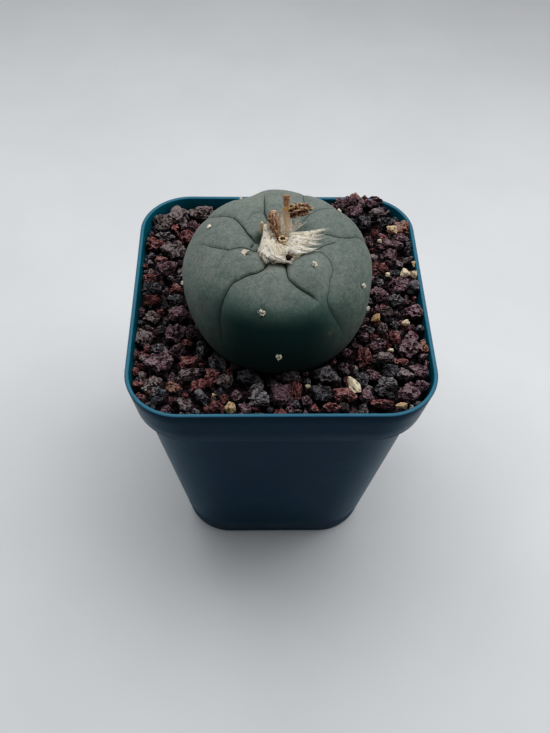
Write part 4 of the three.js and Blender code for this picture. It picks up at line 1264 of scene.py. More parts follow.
def tubes(name, paths, radii, shades):
    """Many three-sided hairs as one piece. Paths are (hairs, points, 3) and radii (hairs, points)."""
    hairs, steps, _ = paths.shape
    sides = 3
    ahead = unit(np.gradient(paths, axis=1))
    across = unit(np.cross(ahead, (0.31, -0.22, 0.92)))
    over = np.cross(across, ahead)
    angles = ring_angles(sides)[:, None]
    ring = across[:, :, None] * np.cos(angles) + over[:, :, None] * np.sin(angles)
    shell = paths[:, :, None] + ring * radii[:, :, None, None]
    faces = []
    for low in range(0, (steps - 1) * sides, sides):
        for side in range(sides):
            start, end = low + side, low + (side + 1) % sides
            faces += [(start, start + sides, end + sides), (start, end + sides, end)]
    per_hair = steps * sides
    last = per_hair - sides
    faces += [(0, 1, 2), (last, last + 2, last + 1)]
    every = (np.array(faces)[None] + per_hair * np.arange(hairs)[:, None, None]).reshape(-1, 3)
    piece = piece_from(name, shell.reshape(-1, 3), every)
    mark(piece, "shade", np.repeat(shades, per_hair))
    piece.data.shade_smooth()
    return piece


def tapered(radius, steps, hairs, random):
    """Radii along hairs of random widths, which taper to their tips."""
    profile = HAIR_PROFILE
    along = np.interp(np.linspace(0, 1, steps), np.linspace(0, 1, len(profile)), profile)
    return radius * random.uniform(0.6, 1.25, hairs)[:, None] * along[None]


def wool_reach(x, y):
    """How far the wool reaches from its middle, in the directions of places on the plan."""
    known, reach = np.array(WOOL_REACH).T
    return np.interp(np.degrees(np.arctan2(y, x)), known, reach, period=360)


def wool_lump(x, y):
    """How far the wool swells up or lies hollow over places on the plan."""
    return sum(rise * bell(np.hypot(x - lump_x, y - lump_y), width)
               for lump_x, lump_y, rise, width in WOOL_LUMPS)


def wool_top(x, y):
    """The height of the felt, or of the bare crown where there is none."""
    out_x, out_y = x - WOOL_MIDDLE[0], y - WOOL_MIDDLE[1]
    share = np.hypot(out_x, out_y) / wool_reach(out_x, out_y)
    thick = WOOL_THICKNESS * np.clip(1 - share ** 2, 0, None) ** 0.65
    return crown_height(x, y) + np.maximum(thick + wool_lump(x, y), 0.15 * thick)


# Operators

class CACTUS_OT_pot(bpy.types.Operator):
    """Mould the square pot, with its collar, foot ring and drain holes"""
    bl_idname = "cactus.pot"
    bl_label = "Mould pot"

    def execute(self, context):
        settings = context.scene.cactus_pot
        bow = settings.side_bow / MM
        pot = loft("pot_moulding", self.foot() + self.side(bow) + self.lip(bow) + self.inside(bow), 35.0)
        for x, y, radius in DRAINS:
            clear_selection()
            place = Vector((x, y, FOOT_HEIGHT + FLOOR_THICKNESS / 2)) * MM
            bpy.ops.mesh.primitive_cylinder_add(
                vertices=32, radius=radius * MM, depth=4 * FLOOR_THICKNESS * MM, location=place)
            drill = bpy.context.object
            apply_modifier(pot, "BOOLEAN", operation="DIFFERENCE", object=drill, solver="EXACT")
            bpy.data.objects.remove(drill)
        make_active(pot)
        bpy.ops.object.shade_smooth_by_angle(angle=math.radians(35))
        points = points_of(pot)
        half, corner = np.array([pot_inside(height, -WALL / 2) for height in points[:, 2]]).T
        past = np.maximum(np.abs(points[:, :2]) - (half - corner)[:, None], 0)
        mark(pot, "inside", np.linalg.norm(past, axis=1) < corner)
        finish_piece(pot, pot_material(settings), "pot", "pot")
        return {"FINISHED"}

    def foot(self):
        """Rings out from the raised floor, down the foot ring and round the sole's edge."""
        inner = SOLE_ROUNDING + FOOT_WIDTH
        steps = [(inner + 0.3, FOOT_HEIGHT), (inner, FOOT_HEIGHT - 0.3), (inner, 0.4), (inner - 0.4, 0.0)]
        for angle in np.radians(np.linspace(0, 90, 6)):
            steps.append((SOLE_ROUNDING * (1 - math.sin(angle)), SOLE_ROUNDING * (1 - math.cos(angle))))
        return [square_ring(BASE[0] - inset, BASE[1] - inset, height) for inset, height in steps]

    def side(self, bow):
        """Rings up the tapering body, over the ledge and up the collar."""
        rings = []
        for share in np.linspace(0, 1, BODY_STEPS + 1)[1:]:
            height = SOLE_ROUNDING + (LEDGE_BOTTOM - SOLE_ROUNDING) * share
            bowed = bow * math.sin(math.pi * min(share + 0.1, 1) / 1.1)
            rings.append(square_ring(*blend_sections(BASE, BODY_TOP, share), height, bowed))
        for (half, corner), inset, height, bowed in (
                (LEDGE, 0.1, LEDGE_BOTTOM, 0.3), (LEDGE, 0.0, LEDGE_BOTTOM + 0.2, 0.3),
                (LEDGE, 0.0, COLLAR_BOTTOM - 0.05, 0.4), (COLLAR, 0.12, COLLAR_BOTTOM, 0.5),
                (COLLAR, 0.0, COLLAR_BOTTOM + 0.2, 0.5)):
            rings.append(square_ring(half - inset, corner, height, bow * bowed))
        for share in (0.33, 0.66):
            height = COLLAR_BOTTOM + (POT_HEIGHT - COLLAR_BOTTOM) * share
            rings.append(square_ring(*blend_sections(COLLAR, RIM, share), height, bow))
        return rings

    def lip(self, bow):
        """Rings over the rim, with its outer and its inner edge rounded."""
        edge = [(LIP_ROUNDING * (1 - math.cos(angle)), LIP_ROUNDING * (1 - math.sin(angle)))
                for angle in np.radians((0, 30, 60, 90))]
        edge += [(WALL - inset, drop) for inset, drop in reversed(edge)]
        return [square_ring(RIM[0] - inset, RIM[1] - inset, POT_HEIGHT - drop, bow) for inset, drop in edge]

    def inside(self, bow):
        """Rings down the inner wall to the floor."""
        floor = FOOT_HEIGHT + FLOOR_THICKNESS
        rings = []
        for height in (92.0, 87.0, COLLAR_BOTTOM, LEDGE_BOTTOM, 60.0, 40.0, 20.0, floor + 1):
            bowed = bow if height > COLLAR_BOTTOM else bow * 0.5
            rings.append(square_ring(*pot_inside(height, 0.0), height, bowed))
        rings.append(square_ring(*pot_inside(floor, 1.0), floor))
        return rings


class CACTUS_OT_grit_fill(bpy.types.Operator):
    """Fill the pot with fine grit, up to the coarse grains and round the root"""
    bl_idname = "cactus.grit_fill"
    bl_label = "Fill with fine grit"

    GAP = 0.35
    SUNK = 2.6

    def execute(self, context):
        gap = self.GAP
        bottom = FOOT_HEIGHT + FLOOR_THICKNESS + gap
        top = POT_HEIGHT - GRIT_DEPTH - self.SUNK
        steps = ((bottom, 3.0), (bottom + 0.3, 1.6), (bottom + 2, gap), (40.0, gap), (LEDGE_BOTTOM, gap),
                 (COLLAR_BOTTOM + 0.5, gap), (top - 0.5, gap), (top, gap + 0.5))
        rings = [square_ring(*pot_inside(height, inset), height) for height, inset in steps]
        edge = rings[-1]
        angles = np.arctan2(edge[:, 1] - PLANT_PLACE[1], edge[:, 0] - PLANT_PLACE[0])
        hole = round_points(PLANT_PLACE, waist(top) + gap, angles, top)
        for share in np.linspace(0, 1, 9)[1:]:
            ring = edge + (hole - edge) * share
            ring[:, 2] = grit_level(ring[:, 0], ring[:, 1]) - self.SUNK + 0.7 * rough(ring, 2.4)
            rings.append(ring)
        rings += [round_points(PLANT_PLACE, radius + gap, angles, height - gap) for radius, height in ROOT]
        fill = loft("grit_fill", rings, 50.0)
        finish_piece(fill, fines_material(context.scene.cactus_grit), "grit", "grit_bed")
        return {"FINISHED"}


class CACTUS_OT_grains(bpy.types.Operator):
    """Settle the lava grains and the pale chips on the grit"""
    bl_idname = "cactus.grains"
    bl_label = "Settle grains and chips"

    def execute(self, context):
        settings = context.scene.cactus_grit
        random = np.random.default_rng(settings.seed)
        coarse = stone_masters(random, 20, 5, 1100, 70, (0.08, 0.28), 0.22)
        fine = stone_masters(random, 12, 4, 260, 22, (0.14, 0.36), 0.2)
        crumbs = stone_masters(random, 8, 3, 110, 14, (0.2, 0.45), 0.24)
        pale = stone_masters(random, 7, 5, 700, 22, (0.08, 0.24), 0.12)
        bed = GritBed(random)
        placed, chips = [], []
        for across, down, *halves, turn, tint, shade in LANDMARKS:
            halves = GROWN * np.array(halves)
            place = seen_on_grit(across, down, 1.0)
            bed.reserve(place, halves[0], halves[2])
            placed.append(Grain(coarse, place, halves, (0.0, 0.0, math.radians(turn)), tint, shade))
            placed.append(self.footing(coarse, place, halves, random))
        for number, (across, down, *halves, turn, shade) in enumerate(CHIPS):
            place = seen_on_grit(across, down, 2.0)
            bed.reserve(place, halves[0], halves[2])
            placed.append(self.footing(fine, place, halves, random))
            points, faces, pit = pale[number % len(pale)]
            stone = turned(points * np.array(halves), (0.0, 0.15, math.radians(turn)))
            chips.append((keep_in_pot(stone + place), faces, shade, pit))
        usual = settings.grain_size / MM / 2
        poured = bed.pour(usual, *COARSE_POUR) + bed.pour(0.5 * usual, *FINE_POUR)
        for size, halves, spot in poured:
            (row, column), height, _ = spot
            masters = coarse if size > FINE_SIZE else fine if size > CRUMB_SIZE else crumbs
            place = (bed.axis[row], bed.axis[column], height)
            placed.append(Grain(masters, place, halves, *self.chance(random, 1.0), spot))
        placed.append(Grain(fine, over_rim(LOOSE_GRAIN), (1.15, 0.9, 0.7), (0.0, 0.0, 0.4), "red", -0.9))
        self.grains(placed, bed, settings)
        finish_piece(gather("pumice_chips", chips), pumice_material(settings), "grit", "grit_bed")
        return {"FINISHED"}

    def chance(self, random, most):
        """A random turn, colour and shade."""
        return random.uniform(0, FULL_TURN, 3), random.choice(TINTS, p=TINT_SHARES), random.uniform(0, most)

    def footing(self, masters, place, halves, random):
        """A plain grain that carries a grain or a chip from below."""
        below = np.array(place) - (0.0, 0.0, halves[2] + 1.0)
        return Grain(masters, below, (1.1 * halves[0], 1.1 * halves[0], 1.6), *self.chance(random, 0.5))

    def grains(self, placed, bed, settings):
        parts = {tint: [] for tint in sorted(TINTS)}
        for number, (masters, place, halves, angles, tint, shade, spot) in enumerate(placed):
            if spot and not bed.seen(*spot):
                continue
            points, faces, pit = masters[number % len(masters)]
            usual = np.mean(halves)
            if spot:
                stone = turned(points * usual, angles) * (np.array(halves) / usual)
            else:
                stone = turned(turned(points, (0.0, 0.0, math.pi / 2 * (number % 4))) * halves, angles)
            stone = keep_in_pot(stone + np.array(place))
            # Painted shade on the lower parts of the grains, carried in the pit mark; a shade below 0 darkens
            # a grain all over
            below = grit_level(stone[:, 0], stone[:, 1]) + SHADED_FROM - stone[:, 2]
            shaded = np.maximum(SHADED * smooth_step(below, 0.0, SHADED_OVER), -shade)
            parts[tint].append((stone, faces, shade, np.maximum(pit, shaded)))
        for tint, members in parts.items():
            name = "lava_" + tint
            lava = lava_material(name, getattr(settings, tint), settings)
            finish_piece(gather(name, members), lava, "grit", "grit_bed")


class CACTUS_OT_plant(bpy.types.Operator):
    """Shape the ribbed button and its root from a sphere"""
    bl_idname = "cactus.plant"
    bl_label = "Shape plant"

    SEGMENTS = 440
    RINGS = 212
    ROOT_ROWS = 18
    SKIN_ROWS = RINGS - ROOT_ROWS
    POLE = 1e-4

    def execute(self, context):
        settings = context.scene.cactus_plant
        clear_selection()
        bpy.ops.mesh.primitive_uv_sphere_add(segments=self.SEGMENTS, ring_count=self.RINGS, radius=MM)
        plant = named(bpy.context.object, "cactus_button")
        sphere = points_of(plant)
        around = np.arctan2(sphere[:, 1], sphere[:, 0])
        row = np.round(np.degrees(np.arccos(np.clip(sphere[:, 2], -1, 1))) / 180 * self.RINGS).astype(int)
        button = row <= self.SKIN_ROWS
        down = np.maximum(self.downs()[np.minimum(row, self.SKIN_ROWS)], self.POLE)
        points = np.empty_like(sphere)
        side = np.full(len(sphere), FAR_FROM_CREASE)
        strength = np.zeros(len(sphere))
        points[button], side[button], strength[button] = skin(around[button], down[button], settings)
        points[down == self.POLE] = points[down == self.POLE].mean(axis=0)
        points[~button] = self.root(points[row == self.SKIN_ROWS], around, row)[~button]
        for place in (*AREOLES, FLAKE):
            gap = np.linalg.norm(points - on_skin(place[:2], settings), axis=1)
            outward = unit(points - np.array((*PLANT_PLACE, PLANT_MIDDLE - 8)))
            points -= outward * (DENT[0] * bell(gap, DENT[1]))[:, None]
        move_points(plant, points)
        apart = smooth_step(np.abs(side), *LINE_END)
        mark(plant, "crease_side", side)
        mark(plant, "crease_strength", np.clip(strength * 1.25, 0, 1) * (1 - apart))
        for name, spots, most in (("cork", CORK_MARKS, 0.8), ("notch_shadow", NOTCH_SHADOWS, 0.85)):
            gaps = [np.linalg.norm(points - on_plant([place])[0], axis=1) / size for *place, size in spots]
            mark(plant, name, most * bell(np.min(gaps, axis=0), 1.0))
        plant.data.shade_smooth()
        finish_piece(plant, skin_material(settings), "skin", "cactus_body")
        return {"FINISHED"}

    def downs(self):
        """Angles down from the top for the skin's rows, which are closer where there is more to show."""
        spread = np.linspace(0, SKIRT_END, 600)
        effort = np.interp(spread, *ROW_EFFORT)
        spent = np.concatenate(((0.0,), np.cumsum(effort)[:-1]))
        shares = np.arange(self.SKIN_ROWS + 1) / self.SKIN_ROWS
        return np.radians(np.interp(shares, spent / spent[-1], spread))

    def root(self, skirt, around, row):
        """Points of the taproot, which goes on from the last row of the skin."""
        skirt_radius = np.hypot(skirt[:, 0] - PLANT_PLACE[0], skirt[:, 1] - PLANT_PLACE[1]).mean()
        radii, heights = np.array(((skirt_radius, skirt[:, 2].mean()), *ROOT)).T
        share = np.clip((row - self.SKIN_ROWS) / (self.ROOT_ROWS - 1), 0, 1) * len(ROOT)
        radius = np.where(row == self.RINGS, 0.0, np.interp(share, np.arange(len(radii)), radii))
        return round_points(PLANT_PLACE, radius, around, np.interp(share, np.arange(len(radii)), heights))


class CACTUS_OT_tufts(bpy.types.Operator):
    """Set a small felted tuft in each areole, and a pale flake on one rib"""
    bl_idname = "cactus.tufts"
    bl_label = "Set areole tufts"

    HAIRS = 70
    LUMPS = 6
    SEED = 91

    def execute(self, context):
        settings = context.scene.cactus_wool
        plant = context.scene.cactus_plant
        random = np.random.default_rng(self.SEED)
        masters = stone_masters(random, 5, 3, 300, 4, (0.2, 0.3), 0.12)
        felt, paths, shades = [], [], []
        for *place, tuft in AREOLES:
            stand = skin_frame(place, plant)
            felt += self.lumps(masters, tuft, stand, random)
            path, shade = self.hairs(tuft, stand, random)
            paths.append(path)
            shades.append(shade)
        material = hair_material("tuft_hair", settings.tuft, settings)
        finish_piece(gather("areole_felt", felt), material, "skin", "cactus_body")
        paths = np.concatenate(paths)
        radii = tapered(0.055, paths.shape[1], len(paths), random)
        hair = tubes("areole_tufts", paths, radii, np.concatenate(shades))
        finish_piece(hair, material, "skin", "cactus_body")
        self.flake(plant, context.scene.cactus_dried)
        return {"FINISHED"}

    def lumps(self, masters, tuft, stand, random):
        """The felt at the middle of a tuft: one lump with others round it."""
        root, out, across, up = stand
        for number in range(self.LUMPS):
            angle = FULL_TURN * number / self.LUMPS + random.normal(0, 0.3)
            away = tuft * random.uniform(0.4, 0.75) if number else 0.0
            size = tuft * random.uniform(0.38, 0.54) * np.array((1.0, 1.0, 0.8))
            sideways = away * (math.cos(angle) * across + math.sin(angle) * up)
            centre = root + sideways + random.uniform(0.0, 0.35) * tuft * out
            points, faces, pit = masters[number % len(masters)]
            shade = random.uniform(0, 0.55) if number else 0.97
            yield turned(points * size, random.uniform(0, FULL_TURN, 3)) + centre, faces, shade, pit

    def hairs(self, tuft, stand, random):
        """The paths and shades of the short hairs of a tuft."""
        root, out, across, up = stand
        angle = random.uniform(0, FULL_TURN, self.HAIRS)[:, None]
        lean = np.sqrt(random.uniform(0.02, 1, self.HAIRS))[:, None] * 1.3
        reach = tuft * random.uniform(0.6, 1.1, self.HAIRS)
        heading = np.sin(lean) * (np.cos(angle) * across + np.sin(angle) * up) + np.cos(lean) * out
        along = np.linspace(0, 1, 4)[None, :, None]
        start = root + random.normal(0, 0.25 * tuft, (self.HAIRS, 3))
        path = start[:, None] + heading[:, None] * along * reach[:, None, None]
        path += random.normal(0, 0.06, path.shape) * along
        dark = random.uniform(size=self.HAIRS) < 0.1
        return path, np.where(dark, 1.0, random.uniform(0, 0.5, self.HAIRS))

    def flake(self, plant, settings):
        """A pale, pointed flake that lies on a rib."""
        root, out, *_ = skin_frame(FLAKE, plant)
        angles = ring_angles(28)
        across = unit(np.array(CAMERA_RIGHT) - out * np.dot(CAMERA_RIGHT, out))
        up = np.cross(out, across)
        reach = 1 / (np.abs(np.cos(angles)) / FLAKE_SIZE[0] + np.abs(np.sin(angles)) / FLAKE_SIZE[1])
        ragged = 0.12 * np.sin(3 * angles + 1) + 0.1 * np.sin(7 * angles) + 0.05 * np.sin(11 * angles + 1)
        reach *= 1 + ragged
        outline = reach[:, None] * (np.cos(angles)[:, None] * across + np.sin(angles)[:, None] * up)
        rings = []
        for size, lift in ((0.75, -0.25), (0.95, 0.1), (1.0, 0.35), (0.85, 0.5), (0.5, 0.38), (0.15, 0.45)):
            ring = root + size * outline
            rings.append(ring + out * (lift + 0.12 * rough(ring, 0.8, 2))[:, None])
        flake = loft("crown_flake", rings, 50.0)
        mark(flake, "pit", 0.0)
        finish_piece(flake, tan_material("pale_flake", settings.flake, settings.tan), "skin", "cactus_body")


class CACTUS_OT_wool(bpy.types.Operator):
    """Lay the matted wool and its silky hairs on the crown"""
    bl_idname = "cactus.wool"
    bl_label = "Lay crown wool"

    STEPS = 8
    ALONG = np.linspace(0, 1, STEPS)
    SEED = 733

    def execute(self, context):
        settings = context.scene.cactus_wool
        self.felt(settings)
        random = np.random.default_rng(self.SEED)
        groups, locks = [], []
        for bundle in BUNDLES:
            hairs, lock = self.bundle(*bundle, 9 * len(locks), random)
            groups.append(hairs)
            locks.append(lock)
        hairs, lock = self.fuzz(FUZZ_COUNT, random)
        hairs = np.concatenate((*groups, hairs))
        floor = crown_height(hairs[:, :, 0], hairs[:, :, 1]) + 0.06
        hairs[:, 1:, 2] = np.maximum(hairs[:, 1:, 2], floor[:, 1:])
        radii = tapered(settings.hair_width / MM / 2, self.STEPS, len(hairs), random)
        shades = np.clip(np.concatenate((*locks, lock)) + random.normal(0, 0.12, len(hairs)), 0, 1)
        hair = tubes("wool_hairs", hairs, radii, shades)
        finish_piece(hair, hair_material("wool_hair", settings.white, settings), "wool", "crown_wool")
        return {"FINISHED"}

    def felt(self, settings):
        """The felted body of the wool: a sphere pressed onto the crown, with a ragged edge."""
        clear_selection()
        bpy.ops.mesh.primitive_uv_sphere_add(segments=150, ring_count=90, radius=MM)
        felt = named(bpy.context.object, "wool_felt")
        sphere = points_of(felt)
        angle = np.arctan2(sphere[:, 1], sphere[:, 0])
        share = np.hypot(sphere[:, 0], sphere[:, 1])
        ragged = 1 + 0.07 * np.sin(9 * angle) + 0.05 * np.sin(17 * angle + 1)
        reach = 0.95 * wool_reach(sphere[:, 0], sphere[:, 1]) * ragged
        points = round_points(WOOL_MIDDLE, reach * share, angle, 0.0)
        x, y = points[:, 0], points[:, 1]
        crown = crown_height(x, y)
        lifted = wool_top(*(middle + (value - middle) / 1.02 for middle, value in zip(WOOL_MIDDLE, (x, y))))
        lifted = np.where(share < 0.995, lifted, crown - 0.4)
        sunk = crown - 0.5 - 0.6 * np.sqrt(np.clip(1 - share ** 2, 0, None))
        points[:, 2] = np.where(sphere[:, 2] >= 0, lifted, sunk)
        lumps = 0.4 * rough(points, 2.2) + 0.25 * rough(points + 40, 0.7)
        points[:, 2] += np.where(sphere[:, 2] > 0, lumps, 0) * np.clip(2 * (1 - share), 0.25, 1)
        mark(felt, "hollow", np.clip(-wool_lump(x, y), 0, 1))
        move_points(felt, points)
        felt.data.shade_smooth()
        finish_piece(felt, wool_material(settings), "wool", "crown_wool")

    def bundle(self, path, count, root_spread, tip_spread, tone, shift, random):
        """The hairs of one bundle and their shades."""
        along = self.ALONG[None, :, None]
        guide = over_rim(curve_through(path, self.STEPS))
        spread = root_spread + (tip_spread - root_spread) * along
        offset = random.normal(0, 1, (count, 1, 3)) * (0.75, 0.75, 0.45)
        fan = random.normal(0, 1, (count, 1, 3)) * (0.8, 0.8, 0.35)
        wave = random.normal(0, 0.16, (count, self.STEPS, 3))
        wave = (wave + np.roll(wave, 1, axis=1)) / 1.6
        hairs = guide[None] + offset * root_spread * (1 - along) + fan * tip_spread * along
        hairs = hairs + wave * (0.4 + spread) * 0.6
        cut = random.uniform(0.35, 1.1, count)
        hairs = hairs[:, :1] + (hairs - hairs[:, :1]) * cut[:, None, None]
        return hairs, tone + 0.6 * rough(offset[:, 0] * 1.2 + shift, 0.5, 2)

    def fuzz(self, count, random):
        """Short curled hairs all over the felt, swept round at its edge, and their shades."""
        along = self.ALONG[None]
        angle = random.uniform(0, FULL_TURN, count)
        share = np.sqrt(random.uniform(0, 1.0, count))
        reach = wool_reach(np.cos(angle), np.sin(angle))
        x = WOOL_MIDDLE[0] + reach * share * np.cos(angle)
        y = WOOL_MIDDLE[1] + reach * share * np.sin(angle)
        sense = np.where(random.uniform(size=count) < 0.5, -1, 1)
        swirl = sense * math.pi / 2 * smooth_step(share, 0.5, 0.95)
        heading = angle + random.normal(0, 0.8, count) + swirl
        stride = random.uniform(0.9, 2.6, count)[:, None] * along
        turn = heading[:, None] + random.normal(0, 0.8, count)[:, None] * along
        out_x = x[:, None] + stride * np.cos(turn) - WOOL_MIDDLE[0]
        out_y = y[:, None] + stride * np.sin(turn) - WOOL_MIDDLE[1]
        beyond = np.hypot(out_x, out_y) / wool_reach(out_x, out_y)
        held = np.minimum(1.0, 1.04 / np.maximum(beyond, 0.01))
        path_x = WOOL_MIDDLE[0] + out_x * held
        path_y = WOOL_MIDDLE[1] + out_y * held
        arch = random.uniform(0.05, 0.45, count)[:, None] * np.sin(np.pi * along) ** 0.8
        paths = np.stack((path_x, path_y, wool_top(path_x, path_y) + 0.05 + arch), axis=2)
        # Hairs over hollows are painted darker and over lumps paler: painted shade and light
        lumps = np.clip(wool_lump(x, y), -1, 0.7)
        return paths, FUZZ_SHADE + 0.9 * rough(paths[:, 3], 0.9, 2) - 0.45 * lumps


def dried_piece(name, sections, sides, steps, squareness, wrinkle, seed):
    """A closed dried piece: flattened, wrinkled lengthways and a little uneven."""
    random = np.random.default_rng(seed)
    sections = np.asarray(sections, dtype=float)
    path = over_rim(curve_through(sections[:, :3], steps))
    halves = curve_through(sections[:, 3:], steps)
    angles = ring_angles(sides)
    wide, thick = (np.sign(part) * np.abs(part) ** squareness for part in (np.cos(angles), np.sin(angles)))
    folds = random.uniform(-1, 1, sides)
    folds = (folds + np.roll(folds, 1)) / 1.4
    rings = []
    for row in range(steps):
        ahead = unit(path[min(row + 1, steps - 1)] - path[max(row - 1, 0)])
        across = unit(np.cross(ahead, (0.0, 1.0, 0.0)))
        over = np.cross(across, ahead)
        bulge = 1 + wrinkle * (folds + 0.3 * random.uniform(-1, 1, sides))
        rings.append(path[row] + across * (halves[row, 0] * wide * bulge)[:, None]
                     + over * (halves[row, 1] * thick * bulge)[:, None])
    return loft(name, rings, 60.0)


class CACTUS_OT_dried(bpy.types.Operator):
    """Add the dried flowers, the small cup and the papery scale"""
    bl_idname = "cactus.dried"
    bl_label = "Add dried flowers"

    PETAL_SEED = 17
    CUP_SEED = 29

    def execute(self, context):
        settings = context.scene.cactus_dried
        brown = dried_material(settings)
        tan = tan_material("dried_tan", settings.tan, settings.brown)
        strap = dried_piece("dried_strap", STRAP, 20, 40, 0.45, 0.10, 5)
        finish_piece(strap, strap_material(settings), "dried_brown", "dried_flower_tall")
        self.stub(brown)
        scale = dried_piece("papery_scale", SCALE, 16, 16, 0.9, 0.08, 3)
        mark(scale, "pit", 0.0)
        finish_piece(scale, tan, "dried_tan", "dried_scale")
        stalk = dried_piece("cup_stalk", CUP_STALK, 18, 12, 0.9, 0.16, 6)
        mark(stalk, "edge", 0.3)
        finish_piece(stalk, brown, "dried_brown", "dried_flower_cup")
        self.petals(brown)
        self.cup(tan)
        return {"FINISHED"}

    def stub(self, material):
        """The short flower, folded lengthways and pale at its tip."""
        stub = dried_piece("dried_stub", STUB, 56, 60, 0.95, 0.26, 8)
        points = points_of(stub)
        out = points[:, :2] - np.array(STUB[4][:2])
        out /= np.maximum(np.linalg.norm(out, axis=1, keepdims=True), 0.1)
        folds = 0.42 * rough(points * (1.0, 1.0, 0.45), 0.5) + 0.16 * rough(points, 0.35)
        points[:, :2] += out * folds[:, None]
        move_points(stub, points)
        mark(stub, "edge", smooth_step(points[:, 2], *STUB_TIP))
        finish_piece(stub, material, "dried_brown", "dried_flower_stub")

    def petals(self, material):
        """The crumpled petals as one piece."""
        random = np.random.default_rng(self.PETAL_SEED)
        made = [self.petal(*over_rim((root, tip)), *shape, random.uniform(0, 30, 3))
                for root, tip, *shape in PETALS]
        clear_selection()
        for petal in made:
            petal.select_set(True)
        bpy.context.view_layer.objects.active = made[0]
        bpy.ops.object.join()
        petals = named(bpy.context.object, "dried_petals")
        petals.data.shade_smooth()
        finish_piece(petals, material, "dried_brown", "dried_flower_tall")

    def petal(self, root, tip, half_width, curl, twist, shift):
        """A grid that is curled across, twisted along its length, crumpled and thickened."""
        clear_selection()
        bpy.ops.mesh.primitive_grid_add(x_subdivisions=40, y_subdivisions=20, size=2 * MM)
        petal = bpy.context.object
        flat = points_of(petal)
        share, aside = (flat[:, 0] + 1) / 2, flat[:, 1]
        ahead = unit(tip - root)
        across = unit(np.cross(ahead, (0.0, 0.0, 1.0)))
        over = np.cross(across, ahead)
        width = half_width * np.sin(np.pi * np.clip(0.16 + 0.8 * share, 0, 1)) ** 0.6
        bend = curl * 1.6 * aside
        roll = width / max(abs(curl), 0.3) / 1.3
        sideways = (roll * np.sin(bend))[:, None]
        lifted = (roll * (1 - np.cos(bend)) + 0.5 * np.sin(np.pi * share))[:, None]
        spin = (twist + 0.9 * share)[:, None]
        side = np.cos(spin) * across + np.sin(spin) * over
        rise = np.cos(spin) * over - np.sin(spin) * across
        points = root + (tip - root) * share[:, None] + side * sideways + rise * lifted
        crumple = np.column_stack([rough(points + shift + 11 * axis, 0.8, 3) for axis in range(3)])
        wrinkle = np.column_stack([rough(points + shift + 5 * axis, 0.36, 2) for axis in range(3)])
        points += (0.5 * crumple + 0.3 * wrinkle) * smooth_step(share, 0.0, 0.2)[:, None]
        points[:, 2] = np.minimum(points[:, 2], PETAL_TOP)
        points[:, 0] = np.clip(points[:, 0], *PETAL_SIDES)
        move_points(petal, points)
        mark(petal, "edge", smooth_step(np.maximum(np.abs(aside), share), 0.86, 1.0))
        apply_modifier(petal, "SOLIDIFY", thickness=PETAL_THICKNESS * MM, offset=0.0)
        return petal

    def cup(self, material):
        """The ragged cup of a dried flower, from ring to ring up its outside and down its bore."""
        random = np.random.default_rng(self.CUP_SEED)
        x, y, bottom = over_rim(CUP)
        angles = ring_angles(36)
        uneven = 0.14 * random.uniform(-1, 1, len(angles))
        ragged = 0.2 * np.sin(5 * angles + 0.6) + 0.1 * np.sin(2 * angles) + uneven
        rings = []
        for radius, height, rag in CUP_PROFILE:
            reach = radius * (1 + 0.75 * ragged * rag)
            level = bottom + height + 0.35 * ragged * rag
            rings.append(round_points((x, y - 0.25 * height), reach, angles, level))
        cup = loft("flower_cup", rings, 50.0)
        points = points_of(cup)
        reach = np.hypot(points[:, 0] - x, points[:, 1] - y + 0.4)
        # Painted shade in the cup's bore and at its foot
        bore = smooth_step(CUP_BORE - reach, 0, 0.15)
        foot = smooth_step(bottom + 0.3 - points[:, 2], 0, 0.6)
        mark(cup, "pit", np.clip(bore + foot, 0, 1))
        finish_piece(cup, material, "dried_tan", "dried_flower_cup")


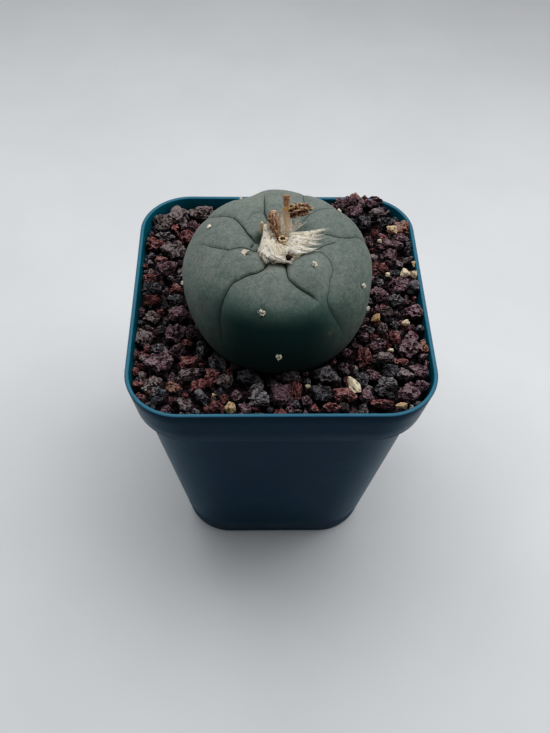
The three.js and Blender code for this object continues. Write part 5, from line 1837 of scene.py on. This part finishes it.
class CACTUS_OT_stage(bpy.types.Operator):
    """Set the pale floor, the soft light and the camera"""
    bl_idname = "cactus.stage"
    bl_label = "Set stage"

    def execute(self, context):
        settings = context.scene.cactus_stage
        clear_selection()
        bpy.ops.mesh.primitive_plane_add(size=4.0)
        floor = named(bpy.context.object, "floor")
        floor.data.materials.append(floor_material(settings))
        self.soft_light("main_light", settings.main_power, *MAIN_LIGHT)
        self.soft_light("left_light", settings.left_power, *LEFT_LIGHT)
        self.soft_light("right_light", settings.right_power, *RIGHT_LIGHT)
        world = bpy.data.worlds.new("surround")
        world.use_nodes = True
        background = world.node_tree.nodes["Background"]
        background.inputs["Color"].default_value = SURROUND_COLOUR
        background.inputs["Strength"].default_value = settings.surround
        context.scene.world = world
        view = bpy.data.cameras.new("camera")
        view.lens = settings.lens
        view.sensor_width = SENSOR_WIDTH
        view.clip_start = 0.01
        camera = bpy.data.objects.new("camera", view)
        turn = Matrix((CAMERA_RIGHT, CAMERA_UP, [-value for value in CAMERA_AHEAD])).transposed().to_4x4()
        camera.matrix_world = Matrix.Translation(Vector(CAMERA_PLACE) * MM) @ turn
        context.scene.collection.objects.link(camera)
        context.scene.camera = camera
        self.tone(context.scene.view_settings)
        return {"FINISHED"}

    def soft_light(self, name, power, place, aim, width, depth):
        light = bpy.data.lights.new(name, "AREA")
        light.shape = "RECTANGLE"
        light.size = width * MM
        light.size_y = depth * MM
        light.energy = power
        lamp = bpy.data.objects.new(name, light)
        lamp.location = Vector(place) * MM
        lamp.rotation_euler = (Vector(aim) - Vector(place)).to_track_quat("-Z", "Y").to_euler()
        bpy.context.scene.collection.objects.link(lamp)

    def tone(self, view):
        """Deepens the shadows as in the photograph."""
        view.view_transform = "Standard"
        view.use_curve_mapping = True
        curve = view.curve_mapping.curves[3]
        for fallen, shown in TONE_CURVE:
            curve.points.new(fallen, shown)
        for point in curve.points:
            point.handle_type = "VECTOR"
        view.curve_mapping.update()


OPERATORS = (CACTUS_OT_pot, CACTUS_OT_grit_fill, CACTUS_OT_grains, CACTUS_OT_plant, CACTUS_OT_tufts,
             CACTUS_OT_wool, CACTUS_OT_dried, CACTUS_OT_stage)


class CACTUS_PT_panel(bpy.types.Panel):
    """Lists the steps that make the potted cactus"""
    bl_idname = "CACTUS_PT_panel"
    bl_label = "Potted Button Cactus"
    bl_space_type = "VIEW_3D"
    bl_region_type = "UI"
    bl_category = "Cactus"

    def draw(self, context):
        for step in OPERATORS:
            self.layout.operator(step.bl_idname)


SETTINGS = {"cactus_pot": PotSettings, "cactus_plant": PlantSettings, "cactus_grit": GritSettings,
            "cactus_wool": WoolSettings, "cactus_dried": DriedSettings, "cactus_stage": StageSettings}
CLASSES = (*SETTINGS.values(), *OPERATORS, CACTUS_PT_panel)


def register():
    for kind in CLASSES:
        bpy.utils.register_class(kind)
    for name, kind in SETTINGS.items():
        setattr(bpy.types.Scene, name, PointerProperty(type=kind))


def unregister():
    for name in SETTINGS:
        delattr(bpy.types.Scene, name)
    for kind in reversed(CLASSES):
        bpy.utils.unregister_class(kind)


def main():
    register()
    for step in OPERATORS:
        group, name = step.bl_idname.split(".")
        getattr(getattr(bpy.ops, group), name)()
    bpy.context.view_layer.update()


if __name__ == "__main__":
    main()
